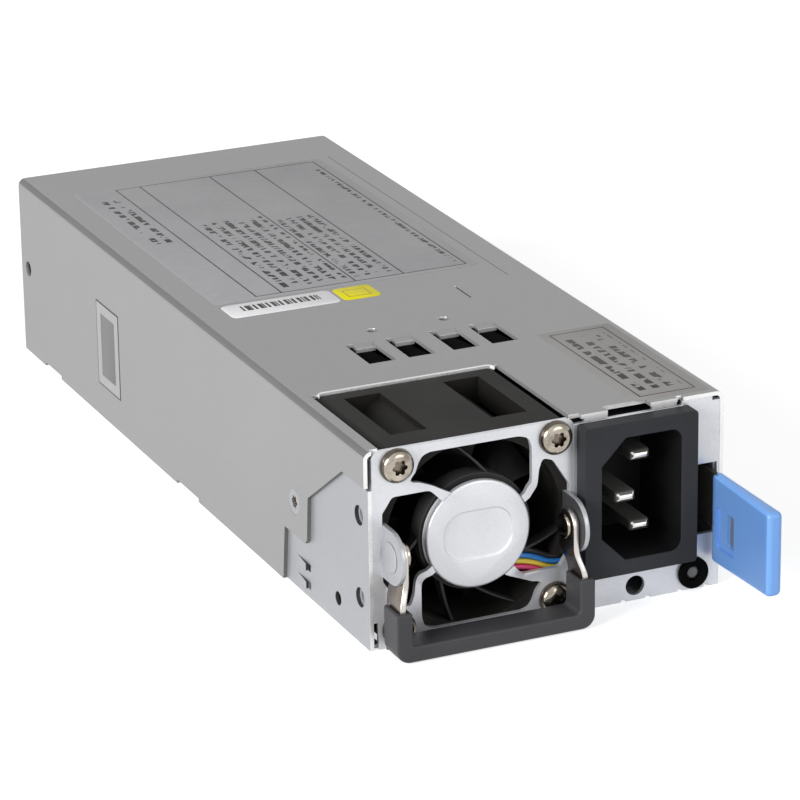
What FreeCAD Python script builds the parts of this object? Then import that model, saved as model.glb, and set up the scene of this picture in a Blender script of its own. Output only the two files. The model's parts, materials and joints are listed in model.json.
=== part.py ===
"""Hot swap power supply for a 1U server, as separate sub-parts (millimetres).

Frame: origin at the centre of the case's bottom face, +Z up, +Y towards the
card edge at the rear, -Y towards the fan and inlet, +X to the latch side.
"""
import FreeCAD, Part
import math
import os

V = FreeCAD.Vector

# ---- sizes that drive the rest ---------------------------------------------
case_length = 185.0
fan_size = 38.0
fan_height_gap = 1.0         # the fan fills the case's height but for this
fan_side_gap = 0.85
fan_inlet_gap = 1.4
bezel_width = 23.5           # the AC inlet's face
latch_bay = 5.55             # room for the release latch beside the inlet
sheet = 0.8                  # cover and chassis steel
plate_thickness = 1.0        # front plate steel

# ---- case ------------------------------------------------------------------
case_height = fan_size + fan_height_gap
case_width = (4 * sheet + plate_thickness + fan_side_gap + fan_size + fan_inlet_gap
              + bezel_width + latch_bay)
half_width = case_width / 2
front = -case_length / 2
rear = case_length / 2
chassis_half = half_width - sheet          # the chassis nests in the cover
inner_half = chassis_half - sheet
plate_back = front + plate_thickness
cover_inside = case_height - sheet
bend_radius = 2 * sheet      # outer radius of the cover's long bends
wall_top = cover_inside - (bend_radius - sheet)
chassis_flange_height = 9.0  # low side flange behind the front posts
post_depth = 40.0            # full-height side wall at the front, along Y
post_rear = front + post_depth

# ---- fan -------------------------------------------------------------------
fan_x = -inner_half + plate_thickness + fan_side_gap + fan_size / 2
fan_z = case_height / 2 + 0.1
fan_depth = 0.8 * fan_size
fan_edge = fan_size / 2
fan_bolt_pitch = fan_size - 6.0
fan_bore_radius = fan_size / 2 - 1.1
fan_front_flange = 6.2       # deep flange behind the front plate
fan_rear_flange = 3.2
fan_barrel_radius = fan_edge - 0.05
fan_post_gap = 0.566         # between the round barrel and each square corner post
fan_post_width = round(fan_edge - (fan_barrel_radius + fan_post_gap) / math.sqrt(2), 2)
fan_bridge_half = 6.5        # flat panel in the middle of each side
fan_motor_radius = 0.2974 * fan_size
fan_motor_depth = 3.6
strut_count = 5
strut_width = 1.5
rotor_hub_radius = fan_motor_radius - 0.3
rotor_wall = 1.3
rotor_tip_gap = 0.45
rotor_depth = fan_depth - 11.4
rotor_end_gap = 0.6
bearing_tube_length = rotor_depth - 7.0
blade_count = 7
blade_thickness = 0.9
shaft_radius = 1.5
bearing_radius = 3.2
running_clearance = 0.05
fan_screw_head_radius = 3.3
fan_screw_head_height = 1.8
fan_screw_shank_radius = 1.6
fan_screw_length = 5.0

# ---- fan guard in the front plate ------------------------------------------
guard_hub_radius = 0.2763 * fan_size
guard_hub_offset = 0.8       # how far the guard's hub stands forward
guard_reach = 1.657          # an opening's far side, in hub radii
guard_side_reach = 1.8       # the same beside the ears
spoke_run = 1.0715           # inner edge of the upright spokes, in hub radii
spoke_level = 0.943          # inner edge of the level spokes
emboss_length = 1.314 * guard_hub_radius
emboss_height = 0.895 * guard_hub_radius
emboss_depth = 0.3
crown_right = fan_x + fan_edge + fan_inlet_gap / 2   # the plate stands higher in front of the fan
crown_top = case_height - 0.3

# ---- handle ----------------------------------------------------------------
ear_reach = 8.6              # from the plate's face to the ear's tip
ear_radius = 5.2
ear_thickness = 1.0
ear_outer = guard_side_reach * guard_hub_radius      # from the fan's centre line
pivot_z = fan_z - 0.3
pivot_y = front - (ear_reach - ear_radius)
arm_thickness = 1.2
arm_width = 6.4
arm_joggle = 1.2
arm_forward = 1.2
arm_joggle_start = 6.2       # below the pivot
arm_joggle_length = 2.2
pivot_side_gap = 0.1
pivot_radius = 1.5
pivot_head_radius = 2.9
pivot_head_height = 0.5
grip_depth = 6.4
grip_leg_width = 3.1
grip_bar_height = 3.1
grip_top = 10.0
grip_bottom = 0.3
grip_corner = 2.6
grip_inner_corner = 0.9
grip_overhang = 1.1
arm_outer = ear_outer - ear_thickness - pivot_side_gap
grip_outer = ear_outer + grip_overhang
arm_low_outer = arm_outer + arm_joggle
arm_low_y = pivot_y - arm_forward
grip_y = arm_low_y - 0.95

# ---- AC inlet --------------------------------------------------------------
bezel_top_gap = 1.6
bezel_bottom = 7.2
bezel_height = case_height - bezel_top_gap - bezel_bottom
bezel_reach = 3.6            # stands forward of the plate
bezel_corner = 0.8
inlet_x = fan_x + fan_edge + fan_inlet_gap + bezel_width / 2
inlet_z = bezel_bottom + bezel_height / 2
inlet_face = front - bezel_reach
socket_width = bezel_width - 6.9
socket_height = bezel_height - 6.0
socket_chamfer = 0.3 * socket_width
socket_corner = 2.2
socket_depth = 17.0
inlet_body_width = bezel_width - 4.1
inlet_body_height = bezel_height - 2.6
inlet_wall = 1.4
inlet_cut_gap = 0.2
pin_width = 4.0
pin_thickness = 2.0
pin_spacing = socket_height - 10.2
pin_line_offset = 1.2        # line and neutral, right of the centre line
earth_pin_offset = -2.8
pin_set_back = 2.8           # tips behind the bezel's face
earth_pin_lead = 2.0         # the earth pin stands this much further out
pin_taper = 0.7
pin_tail = 3.0

# ---- latch -----------------------------------------------------------------
leaf_thickness = 0.8
leaf_wall_gap = 0.3
leaf_height = 11.0
leaf_z = case_height / 2 - 1.6
leaf_root_y = front + 48.5
latch_foot_length = 12.0
latch_foot_gap = 0.05
rivet_radius = 1.2
tooth_y = front + 12.5
tooth_height = 9.0
tooth_length = 7.0
tooth_reach = 1.8            # past the case's side
window_clearance = 0.8
cap_thickness = 3.3
cap_x = half_width - 3.15
cap_back = 1.1               # gap from the plate's face
cap_length = 22.0
cap_bottom = leaf_z - 12.5
cap_top = leaf_z + 5.7
cap_taper = 0.7
cap_window_height = 7.4
cap_window_length = 7.0
cap_window_y = 2.4           # from the cap's back edge
latch_slot_left = half_width - 6.35
latch_slot_right = half_width - 1.35
latch_slot_bottom = leaf_z - 7.0
latch_slot_top = leaf_z + 7.1
foot_front = leaf_root_y + latch_foot_gap
latch_post_rear = foot_front + latch_foot_length + 2.0

# ---- lamp and cord-tie hole in the front plate -----------------------------
lamp_x = half_width - 6.25
lamp_z = 3.5
lamp_flange_radius = 3.1
lamp_body_radius = 2.2
lamp_lens_radius = 1.5
lamp_reach = 0.9
lamp_depth = 7.0
tie_hole_x = inlet_x + 0.55
tie_hole_z = 3.0
tie_hole_radius = 1.95

# ---- board and what stands on it -------------------------------------------
board_thickness = 1.6
board_z = 5.0
board_top = board_z + board_thickness
board_side_gap = 0.4
board_half = inner_half - board_side_gap
board_front_y = plate_back + fan_depth + 1.1
board_rear_y = rear - sheet - board_side_gap
board_length = board_rear_y - board_front_y
headroom = cover_inside - board_top
round_unit = min(board_half, 0.23 * board_length)    # sizes the round parts
insulator_thickness = 0.3
card_width = 52.0
card_reach = 11.0
card_slot_gap = 1.5
finger_count = 22
finger_pitch = (card_width - 2.0) / finger_count
finger_width = 0.75 * finger_pitch
finger_length = 8.5
finger_thickness = 0.05
standoff_radius = 2.5
board_screw_radius = 2.6
board_screw_height = 1.4
board_hole_radius = 1.6
board_shank_radius = 1.3

# ---- rear wall -------------------------------------------------------------
vent_rows = 3
vent_columns = 10
vent_pitch = (2 * inner_half - 4.3) / vent_columns
vent_radius = 0.44 * vent_pitch
vent_bottom = board_top + 9.9


# ---- small helpers ---------------------------------------------------------
def block(x0, x1, y0, y1, z0, z1):
    return Part.makeBox(x1 - x0, y1 - y0, z1 - z0, V(x0, y0, z0))


def rod(radius, length, start, direction):
    return Part.makeCylinder(radius, length, start, direction)


def prism(points, normal, depth):
    """Extrude a closed outline along a vector of the given depth."""
    wire = Part.makePolygon(points + [points[0]])
    return Part.Face(wire).extrude(normal * depth)


def join(shapes):
    whole = shapes[0].multiFuse(shapes[1:]) if len(shapes) > 1 else shapes[0]
    return whole.removeSplitter()


def rounded(shape, radius, choose):
    edges = [edge for edge in shape.Edges if choose(edge)]
    return shape.makeFillet(radius, edges) if edges else shape


def chamfered(shape, size, choose):
    edges = [edge for edge in shape.Edges if choose(edge)]
    return shape.makeChamfer(size, edges) if edges else shape


def runs_along(edge, axis):
    if edge.Curve.TypeId != "Part::GeomLine":
        return False
    direction = edge.tangentAt(edge.FirstParameter)
    return abs(abs(direction.dot(axis)) - 1) < 1e-6


X_AXIS, Y_AXIS, Z_AXIS = V(1, 0, 0), V(0, 1, 0), V(0, 0, 1)


def at_y(edge, y, tolerance=1e-3):
    box = edge.BoundBox
    return abs(box.YMin - y) < tolerance and abs(box.YMax - y) < tolerance


def many_sided(radius, length, start, direction, sides):
    """A post with flat sides, for round parts that stay hidden."""
    ring = []
    for k in range(sides):
        turn = 2 * math.pi * (k + 0.5) / sides
        a, b = radius * math.cos(turn), radius * math.sin(turn)
        if direction.z:
            ring.append(start + V(a, b, 0))
        elif direction.y:
            ring.append(start + V(a, 0, b))
        else:
            ring.append(start + V(0, a, b))
    return prism(ring, direction, length)


def fan_point(u, v, y):
    """A point at u across and v up from the fan's centre."""
    return V(fan_x + u, y, fan_z + v)


def fan_corners():
    half = fan_bolt_pitch / 2
    return [(-half, half), (half, half), (half, -half), (-half, -half)]


# ---- chassis ---------------------------------------------------------------
def rear_vents():
    """Honeycomb of air outlets above the card edge."""
    holes = []
    for row in range(vent_rows):
        shift = vent_pitch / 2 if row % 2 else 0
        for column in range(vent_columns):
            x = (column - (vent_columns - 1) / 2) * vent_pitch + shift - vent_pitch / 4
            z = vent_bottom + row * vent_pitch * math.sqrt(3) / 2
            ring = []
            for k in range(6):
                turn = math.radians(60 * k + 30)
                ring.append(V(x + vent_radius * math.cos(turn), rear - 2 * sheet,
                              z + vent_radius * math.sin(turn)))
            holes.append(prism(ring, Y_AXIS, 3 * sheet))
    return holes


def latch_window():
    half = tooth_height / 2 + window_clearance
    return block(inner_half - sheet, half_width + sheet,
                 tooth_y - window_clearance, tooth_y + tooth_length + window_clearance,
                 leaf_z - half, leaf_z + half)


def wall_holes():
    """Pilot and draw holes in the left front post."""
    holes = []
    for y, z, radius in ((front + 4.2, 0.65 * case_height, 1.9), (front + 4.2, 0.236 * case_height, 1.9),
                         (front + 14.4, 5.1, 1.35)):
        holes.append(rod(radius, 3 * sheet, V(-chassis_half - sheet, y, z), X_AXIS))
    return holes


lance_front, lance_rear = front + 28.5, front + 33.7
lance_z = (6.15, 2.5)
lance_width = 1.5
lance_rise = 0.5


def lanced_tabs():
    """Two small tabs sheared out of the left post, open towards the front."""
    tabs = []
    for z in lance_z:
        outline = [V(-chassis_half, lance_rear, 0), V(-chassis_half - lance_rise, lance_front, 0),
                   V(-chassis_half - lance_rise + 0.4, lance_front, 0), V(-chassis_half + 0.4, lance_rear, 0)]
        tabs.append(prism([V(p.x, p.y, z - lance_width / 2) for p in outline], Z_AXIS, lance_width))
    return tabs


def lanced_gaps():
    """Openings the tabs leave in front of themselves."""
    return [block(-chassis_half - sheet, -inner_half + sheet, lance_front - 1.2, lance_front,
                  z - lance_width / 2, z + lance_width / 2) for z in lance_z]


def chassis():
    floor = block(-chassis_half, chassis_half, plate_back, rear, 0, sheet)
    walls = []
    for side in (-1, 1):
        outer, inner = side * chassis_half, side * inner_half
        low, high = min(outer, inner), max(outer, inner)
        start, end = (front, post_rear) if side < 0 else (plate_back, latch_post_rear)
        walls.append(block(low, high, start, end, 0, wall_top))
        walls.append(block(low, high, end, rear, sheet, chassis_flange_height))
    back = block(-chassis_half, chassis_half, rear - sheet, rear, sheet, wall_top)
    brow = block(-chassis_half + bend_radius, chassis_half - bend_radius, rear - sheet, rear,
                 wall_top, cover_inside)
    tray = join([floor, back, brow] + walls + lanced_tabs())
    card_gap = block(-card_width / 2 - card_slot_gap, card_width / 2 + card_slot_gap,
                     rear - 2 * sheet, rear + sheet, board_z - card_slot_gap, board_top + card_slot_gap)
    cuts = rear_vents() + wall_holes() + lanced_gaps() + rivet_shanks()
    cuts += [card_gap, latch_window(), fan_well(0)]
    low = case_height - 7.6
    slope = [V(-half_width, front - 1, low), V(-half_width, front - 1, case_height),
             V(-half_width, front + 6, case_height), V(-half_width, front + 1.2, low)]
    cuts.append(prism(slope, X_AXIS, 2.5 * sheet))
    return tray.cut(cuts).removeSplitter()


def fan_well(z):
    """The fan is as tall as the case's inside, so both sheets open round it."""
    gap = 0.2
    half = fan_size / 2 + gap
    return block(fan_x - half, fan_x + half, front - 1, plate_back + fan_depth,
                 z - 1, z + sheet + 1)


# ---- cover -----------------------------------------------------------------
hook_slot_x = (-16.5, -8.2, 1.2, 9.4)
hook_slot_width = 5.6
hook_slot_front = front + 42.5
hook_slot_rear = front + 54.2
cover_screw_y, cover_screw_z = front + 32.7, leaf_z
cover_screw_radius = 2.5
lip_slot = (inlet_x - 5.35, inlet_x + 3.55)
lip_spans = ((lip_slot[0] - 4.8, lip_slot[0]), (lip_slot[1] + 0.4, lip_slot[1] + 5.4))
lip_bottom = case_height - 1.5
lip_gap_left, lip_gap_right = crown_right + 1.6, lip_spans[1][1] + 1.2


def side_outline(x):
    """The cover's left side, with the stepped edge in front of its screw tab."""
    low_front = post_rear - 1.0
    high, middle, low = case_height - 7.0, 0.536 * case_height, 11.2
    return [V(x, front, high), V(x, front + 10.0, high), V(x, front + 26.2, middle),
            V(x, front + 26.9, low + 1.0), V(x, front + 27.9, low), V(x, low_front - 1.3, low),
            V(x, low_front, 0), V(x, rear, 0), V(x, rear, case_height), V(x, front, case_height)]


def window_pocket():
    """Square-edged pocket pressed in the left side."""
    y0, y1, z0, z1 = rear - 59.5, rear - 47.1, 7.5, 0.656 * case_height
    return block(-half_width - 1, -half_width + sheet / 2, y0, y1, z0, z1)


def edge_notches():
    """Shallow lanced notches in the cover's lower edges."""
    notches = []
    for side in (-1, 1):
        x0 = side * half_width - 1.5
        for y0, y1 in ((rear - 102.6, rear - 90.9), (rear - 22.9, rear - 12.9)):
            notches.append(block(x0, x0 + 3, y0, y1, -1, 0.8))
    return notches


def front_lips():
    """Two short lips folded down over the front plate's top edge."""
    return [block(x0, x1, front, front + sheet, lip_bottom, case_height - 0.5) for x0, x1 in lip_spans]


def cover():
    outer = block(-half_width, half_width, front, rear, 0, case_height)
    outer = rounded(outer, bend_radius,
                    lambda e: runs_along(e, Y_AXIS) and e.BoundBox.ZMin > case_height - 1)
    inner = block(-chassis_half, chassis_half, front - 1, rear + 1, -1, cover_inside)
    inner = rounded(inner, bend_radius - sheet,
                    lambda e: runs_along(e, Y_AXIS) and e.BoundBox.ZMin > cover_inside - 1)
    left_part = prism(side_outline(-half_width - 1), X_AXIS, half_width + 1)
    right_part = block(0, half_width + 1, front, rear, 0, case_height)
    shell = outer.cut(inner).common(join([left_part, right_part]))
    shell = join([shell] + front_lips())
    cuts = [fan_well(cover_inside), window_pocket(), latch_window()] + edge_notches()
    for x in hook_slot_x:
        cuts.append(block(x, x + hook_slot_width, hook_slot_front, hook_slot_rear,
                          cover_inside - 1, case_height + 1))
    for x in (-8.3, 7.1):
        cuts.append(rod(1.1, 3, V(x, hook_slot_rear + 5.7, cover_inside - 1), Z_AXIS))
    cuts.append(block(17.2, 17.6, hook_slot_rear + 14.9, hook_slot_rear + 22.5,
                      cover_inside - 1, case_height + 1))
    cuts.append(block(lip_slot[0], lip_slot[1], front - 1, front + 2.2, cover_inside - 1, case_height + 1))
    for x0, x1 in ((-inner_half, lip_gap_left), (lip_spans[-1][1] + 0.2, lip_gap_right + 0.2)):
        cuts.append(block(x0, x1, front - 1, plate_back, cover_inside - 1, case_height + 1))
    cuts.append(rod(1.65, 3, V(-half_width - 1, rear - 4.2, fan_z), X_AXIS))
    cuts.append(Part.makeCone(cover_screw_radius + 0.05, 1.3, sheet + 0.05,
                              V(-half_width, cover_screw_y, cover_screw_z), X_AXIS))
    return shell.cut(cuts).removeSplitter()


def cover_screw():
    head = Part.makeCone(cover_screw_radius, 1.25, sheet, V(-half_width, cover_screw_y, cover_screw_z), X_AXIS)
    recess = [block(-half_width - 1, -half_width + 0.45, cover_screw_y - a, cover_screw_y + a,
                    cover_screw_z - b, cover_screw_z + b) for a, b in ((1.1, 0.3), (0.3, 1.1))]
    return head.cut(recess)


def hook_tongues():
    """Tongues bent down into the cover's slots, with the cover's own steel."""
    drop, reach = 0.5, 1.9
    tongues = []
    for x in hook_slot_x:
        inset = 1.5
        y0 = hook_slot_rear
        outline = [V(x + inset, y0, case_height), V(x + inset, y0, cover_inside),
                   V(x + inset, y0 - reach, cover_inside - drop),
                   V(x + inset, y0 - reach, case_height - drop)]
        tongues.append(prism(outline, X_AXIS, hook_slot_width - inset))
    return tongues


def slot_clips():
    """Black plastic clip feet seen inside the cover's slots."""
    clips = []
    for x in hook_slot_x:
        outline = [V(x + 1.0, hook_slot_rear - 2.2, cover_inside - 3.2),
                   V(x + 1.0, hook_slot_rear - 2.2, cover_inside - 0.4),
                   V(x + 1.0, hook_slot_front + 0.9, cover_inside + 0.4),
                   V(x + 1.0, hook_slot_front + 0.2, cover_inside + 0.4),
                   V(x + 1.0, hook_slot_front + 0.2, cover_inside - 3.2)]
        clips.append(prism(outline, X_AXIS, hook_slot_width - 1.9))
    bar = block(hook_slot_x[0] - 1, hook_slot_x[-1] + hook_slot_width + 1,
                hook_slot_front - 1.5, hook_slot_rear + 1.5, cover_inside - 4.4, cover_inside - 3.2)
    return join(clips + [bar])


# ---- front plate -----------------------------------------------------------
def arc_points(radius, start_degrees, end_degrees, steps):
    points = []
    for k in range(steps + 1):
        turn = math.radians(start_degrees + (end_degrees - start_degrees) * k / steps)
        points.append((radius * math.cos(turn), radius * math.sin(turn)))
    return points


def soft_corner(before, corner, after, radius, steps=2):
    """Points of a fillet between two straight edges that meet at a corner."""
    (ax, az), (bx, bz), (cx, cz) = before, corner, after
    toward_a, toward_c = math.hypot(ax - bx, az - bz), math.hypot(cx - bx, cz - bz)
    ux, uz = (ax - bx) / toward_a, (az - bz) / toward_a
    wx, wz = (cx - bx) / toward_c, (cz - bz) / toward_c
    half_angle = math.acos(max(-1, min(1, ux * wx + uz * wz))) / 2
    reach = min(radius / math.tan(half_angle), 0.48 * toward_a, 0.48 * toward_c)
    points = []
    for k in range(steps + 1):
        t = k / steps
        first, third = (1 - t) ** 2, t ** 2
        points.append((bx + reach * (first * ux + third * wx), bz + reach * (first * uz + third * wz)))
    return points


def soft_outline(arc, corners):
    """Join an arc and a run of (u, v, radius) corners into one outline."""
    ring = [arc[-1]] + [(u, v) for u, v, _ in corners] + [arc[0]]
    points = list(arc)
    for k, (_, _, radius) in enumerate(corners, start=1):
        points += soft_corner(ring[k - 1], ring[k], ring[k + 1], radius)
    return points


def guard_opening(upper, turned):
    """An air opening beside the hub, laid out in hub radii; turned for its opposite."""
    if upper:
        hub = arc_points(0.98, 34, 120, 5)
        corners = [(-0.83, 1.02, 0.29), (-1.07, 1.12, 0.29), (-1.3, 1.16, 0.07), (-1.16, 1.32, 0.2),
                   (-1.1, 1.49, 0.2), (-1.03, 1.61, 0.15), (-0.88, guard_reach, 0.15),
                   (spoke_run, guard_reach, 0.25), (spoke_run, 0.74, 0.15)]
    else:
        hub = arc_points(0.98, -47, 26, 4)
        corners = [(1.17, 0.63, 0.2), (1.21, 0.97, 0.2), (1.28, 1.17, 0.07), (1.48, 1.1, 0.12),
                   (guard_side_reach, 0.6, 0.1), (guard_side_reach, -0.66, 0.1), (1.7, -0.8, 0.1),
                   (1.61, -spoke_level, 0.1), (0.885, -spoke_level, 0.15)]
    size = -guard_hub_radius if turned else guard_hub_radius
    points = [fan_point(size * u, size * v, front - 1) for u, v in soft_outline(hub, corners)]
    return prism(points, Y_AXIS, plate_thickness + 2)


def ear(side):
    """Handle ear bent forward out of the plate; side is -1 left, 1 right."""
    outer = fan_x + side * ear_outer
    inner = outer - side * ear_thickness
    x0 = min(outer, inner)
    root = block(x0, x0 + ear_thickness, pivot_y, plate_back,
                 pivot_z - ear_radius, pivot_z + ear_radius)
    tip = rod(ear_radius, ear_thickness, V(x0, pivot_y, pivot_z), X_AXIS)
    tip = tip.cut(block(x0 - 1, x0 + ear_thickness + 1, pivot_y, pivot_y + ear_radius + 1,
                        pivot_z - ear_radius - 1, pivot_z + ear_radius + 1))
    hole = many_sided(pivot_radius, ear_thickness + 2, V(x0 - 1, pivot_y, pivot_z), X_AXIS, 16)
    return join([root, tip]).cut(hole)


def plate_bottom_notches():
    notches = []
    for x in (inlet_x - 1.85, inlet_x + 3.25, lamp_x - 2.6, lamp_x + 3.0):
        notches.append(many_sided(0.55, plate_thickness + 2, V(x, front - 1, 0), Y_AXIS, 10))
    return notches


def fan_guard():
    """The plate's fan side: four air openings and the four spokes."""
    panel = block(-inner_half, crown_right, front, plate_back, 0, cover_inside)
    crown = block(-inner_half, crown_right, front, plate_back, cover_inside - 2, crown_top)
    crown = rounded(crown, 1.4, lambda e: runs_along(e, Y_AXIS) and e.BoundBox.ZMin > cover_inside)
    top = block(-inner_half, crown_right, front - 1, plate_back + 1, cover_inside - 1.9, case_height)
    flange = block(-inner_half, -inner_half + plate_thickness, plate_back, front + 7.0,
                   6.4, case_height - 2.0)
    cuts = [guard_opening(upper, turned) for upper in (True, False) for turned in (True, False)]
    for u, v in fan_corners():
        cuts.append(many_sided(fan_screw_shank_radius + 0.1, plate_thickness + 2,
                               fan_point(u, v, front - 1), Y_AXIS, 12))
    cuts.append(block(-inner_half - 1, -inner_half + plate_thickness, front - 1, plate_back + 1, -1, 5.4))
    for z in (0.65 * case_height, 0.236 * case_height):
        cuts.append(many_sided(1.3, plate_thickness + 2, V(-inner_half - 1, front + 4.2, z), X_AXIS, 16))
    hub_seat = hub_blank(front - 1, plate_thickness + 2)
    return join([panel.cut(top), crown, flange]).cut(cuts + [hub_seat])


def hub_blank(start, length):
    return many_sided(guard_hub_radius, length, fan_point(0, 0, start), Y_AXIS, 40)


def guard_hub():
    """Raised disc in the middle of the guard, with an oval pressed into its face."""
    face = front - guard_hub_offset
    disc = hub_blank(face, plate_thickness + guard_hub_offset)
    oval = block(fan_x - emboss_length / 2, fan_x + emboss_length / 2, face - 1, face + emboss_depth,
                 fan_z - emboss_height / 2, fan_z + emboss_height / 2)
    return disc.cut(rounded(oval, 0.43 * emboss_height, lambda e: runs_along(e, Y_AXIS)))


def front_plate():
    """The plate's inlet side, with the lever slot, the lamp hole and the tie hole."""
    panel = join([block(crown_right, chassis_half, front, plate_back, 0, wall_top),
                  block(crown_right, chassis_half - bend_radius, front, plate_back, wall_top, cover_inside)])
    across, up = inlet_body_width / 2 + inlet_cut_gap, inlet_body_height / 2 + inlet_cut_gap
    cuts = [block(inlet_x - across, inlet_x + across, front - 1, plate_back + 1, inlet_z - up, inlet_z + up)]
    cuts.append(block(latch_slot_left, latch_slot_right, front - 1, plate_back + 1,
                      latch_slot_bottom, latch_slot_top))
    cuts.append(many_sided(lamp_body_radius, plate_thickness + 2, V(lamp_x, front - 1, lamp_z), Y_AXIS, 20))
    cuts.append(rod(tie_hole_radius, plate_thickness + 2, V(tie_hole_x, front - 1, tie_hole_z), Y_AXIS))
    cuts.append(block(crown_right, lip_gap_right, front - 1, plate_back + 1, lip_bottom - 0.1, case_height))
    return panel.cut(cuts + plate_bottom_notches())


# ---- fan -------------------------------------------------------------------
def fan_bore(start, length):
    return many_sided(fan_bore_radius, length, fan_point(0, 0, start), Y_AXIS, 48)


def fan_frame():
    half = fan_size / 2
    y0, y1 = plate_back, plate_back + fan_depth
    body = block(fan_x - half, fan_x + half, y0, y1, fan_z - half, fan_z + half)
    body = rounded(body, 2.0, lambda e: runs_along(e, Y_AXIS))
    y_low, y_high = y0 + fan_front_flange, y1 - fan_rear_flange
    waist = block(fan_x - half - 1, fan_x + half + 1, y_low, y_high, fan_z - half - 1, fan_z + half + 1)
    barrel = many_sided(fan_barrel_radius, y_high - y_low, fan_point(0, 0, y_low), Y_AXIS, 48)
    posts = []
    for u, v in fan_corners():
        side, up = math.copysign(1, u), math.copysign(1, v)
        corner = fan_point(side * (half - fan_post_width / 2), up * (half - fan_post_width / 2), 0)
        post = block(corner.x - fan_post_width / 2, corner.x + fan_post_width / 2, y_low, y_high,
                     corner.z - fan_post_width / 2, corner.z + fan_post_width / 2)
        posts.append(post.common(body))
    wide, deep = fan_bridge_half, half - 3.0
    for across, up in ((wide, half), (half, wide)):
        span = block(fan_x - across, fan_x + across, y_low, y_high, fan_z - up, fan_z + up)
        posts.append(span.cut(block(fan_x - deep, fan_x + deep, y_low, y_high, fan_z - deep, fan_z + deep)))
    body = join([body.cut(waist), barrel] + posts)
    cuts = [fan_bore(y0 - 1, fan_depth + 2)]
    for u, v in fan_corners():
        cuts.append(many_sided(fan_screw_shank_radius, fan_front_flange, fan_point(u, v, y0), Y_AXIS, 12))
    return body.cut(cuts)


def fan_motor_base():
    """Motor base with the bearing's tube, carried by struts across the bore."""
    motor = many_sided(fan_motor_radius, fan_motor_depth, fan_point(0, 0, plate_back), Y_AXIS, 36)
    struts = []
    for k in range(strut_count):
        strut = block(fan_motor_radius - 1, fan_bore_radius + 1, 0.4, 3.0, -strut_width / 2, strut_width / 2)
        strut.rotate(V(0, 0, 0), Y_AXIS, 360 / strut_count * k + 32)
        strut.translate(fan_point(0, 0, plate_back))
        struts.append(strut.common(fan_bore(plate_back, fan_depth)))
    tube_front = plate_back + fan_motor_depth
    tube = many_sided(bearing_radius + 0.9, bearing_tube_length, fan_point(0, 0, tube_front), Y_AXIS, 20)
    hole = many_sided(bearing_radius, bearing_tube_length + 2, fan_point(0, 0, tube_front - 1), Y_AXIS, 20)
    return join([motor, tube] + struts).cut(hole)


def fan_bearing():
    y0 = plate_back + fan_motor_depth - 1.0
    length = bearing_tube_length + 1
    sleeve = many_sided(bearing_radius, length, fan_point(0, 0, y0), Y_AXIS, 20)
    return sleeve.cut(rod(shaft_radius + running_clearance, length + 2, fan_point(0, 0, y0 - 1), Y_AXIS))


rotor_front = plate_back + fan_motor_depth + rotor_end_gap


def blade_section(radius, stagger):
    """Six points of a cambered section, wrapped round the given radius."""
    half = (rotor_depth - 4.0) * 0.31 / math.cos(math.radians(stagger))
    along_y, along_t = math.cos(math.radians(stagger)), math.sin(math.radians(stagger))
    points = []
    for run, rise in ((-1, 0.2), (0, 1.9), (1, 0.2), (1, -0.2), (0, 0.9), (-1, -0.2)):
        y = run * half * along_y - rise * blade_thickness * along_t
        around = (run * half * along_t + rise * blade_thickness * along_y) / radius
        points.append(V(radius * math.cos(around), y, radius * math.sin(around)))
    return points


def rotor_blade():
    """One twisted blade from the hub to the tip, in flat facets."""
    tip = fan_bore_radius - rotor_tip_gap
    root = rotor_hub_radius - rotor_wall / 2
    sections = [blade_section(radius, stagger)
                for radius, stagger in ((root, 38), ((root + tip) / 2, 46), (tip, 54))]
    faces = []
    for inner, outer in zip(sections, sections[1:]):
        for k in range(6):
            a, b, c, d = inner[k], inner[(k + 1) % 6], outer[(k + 1) % 6], outer[k]
            faces += [[a, b, c], [a, c, d]]
    for ring in (sections[0], sections[-1]):
        faces += [[ring[0], ring[1], ring[5]], [ring[1], ring[4], ring[5]],
                  [ring[1], ring[2], ring[4]], [ring[2], ring[3], ring[4]]]
    shell = Part.makeShell([Part.Face(Part.makePolygon(f + [f[0]])) for f in faces])
    return Part.makeSolid(shell)


def rotor_cup():
    return many_sided(rotor_hub_radius, rotor_depth, fan_point(0, 0, rotor_front), Y_AXIS, 42)


def fan_rotor():
    """Motor cup that turns on the shaft."""
    hollow = many_sided(rotor_hub_radius - rotor_wall, rotor_depth - 1.6,
                        fan_point(0, 0, rotor_front), Y_AXIS, 28)
    boss = many_sided(2.6, 3.2, fan_point(0, 0, rotor_front + rotor_depth - 4.6), Y_AXIS, 16)
    shaft_hole = rod(shaft_radius, rotor_depth + 2, fan_point(0, 0, rotor_front - 1), Y_AXIS)
    return join([rotor_cup().cut(hollow), boss]).cut(shaft_hole)


def fan_blades():
    blades = []
    for k in range(blade_count):
        blade = rotor_blade()
        blade.rotate(V(0, 0, 0), Y_AXIS, 360 / blade_count * k + 12)
        blade.translate(fan_point(0, 0, rotor_front + rotor_depth / 2))
        blades.append(blade.cut(rotor_cup()))
    return Part.makeCompound(blades)


def fan_shaft():
    y0 = plate_back + fan_motor_depth - 0.6
    return rod(shaft_radius, rotor_front + rotor_depth - y0, fan_point(0, 0, y0), Y_AXIS)


def fan_screws():
    screws = []
    for u, v in fan_corners():
        head = many_sided(fan_screw_head_radius, fan_screw_head_height,
                          fan_point(u, v, front - fan_screw_head_height), Y_AXIS, 20)
        shank = many_sided(fan_screw_shank_radius, fan_screw_length, fan_point(u, v, front), Y_AXIS, 12)
        screws.append(join([head, shank]))
    return Part.makeCompound(screws)


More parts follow.
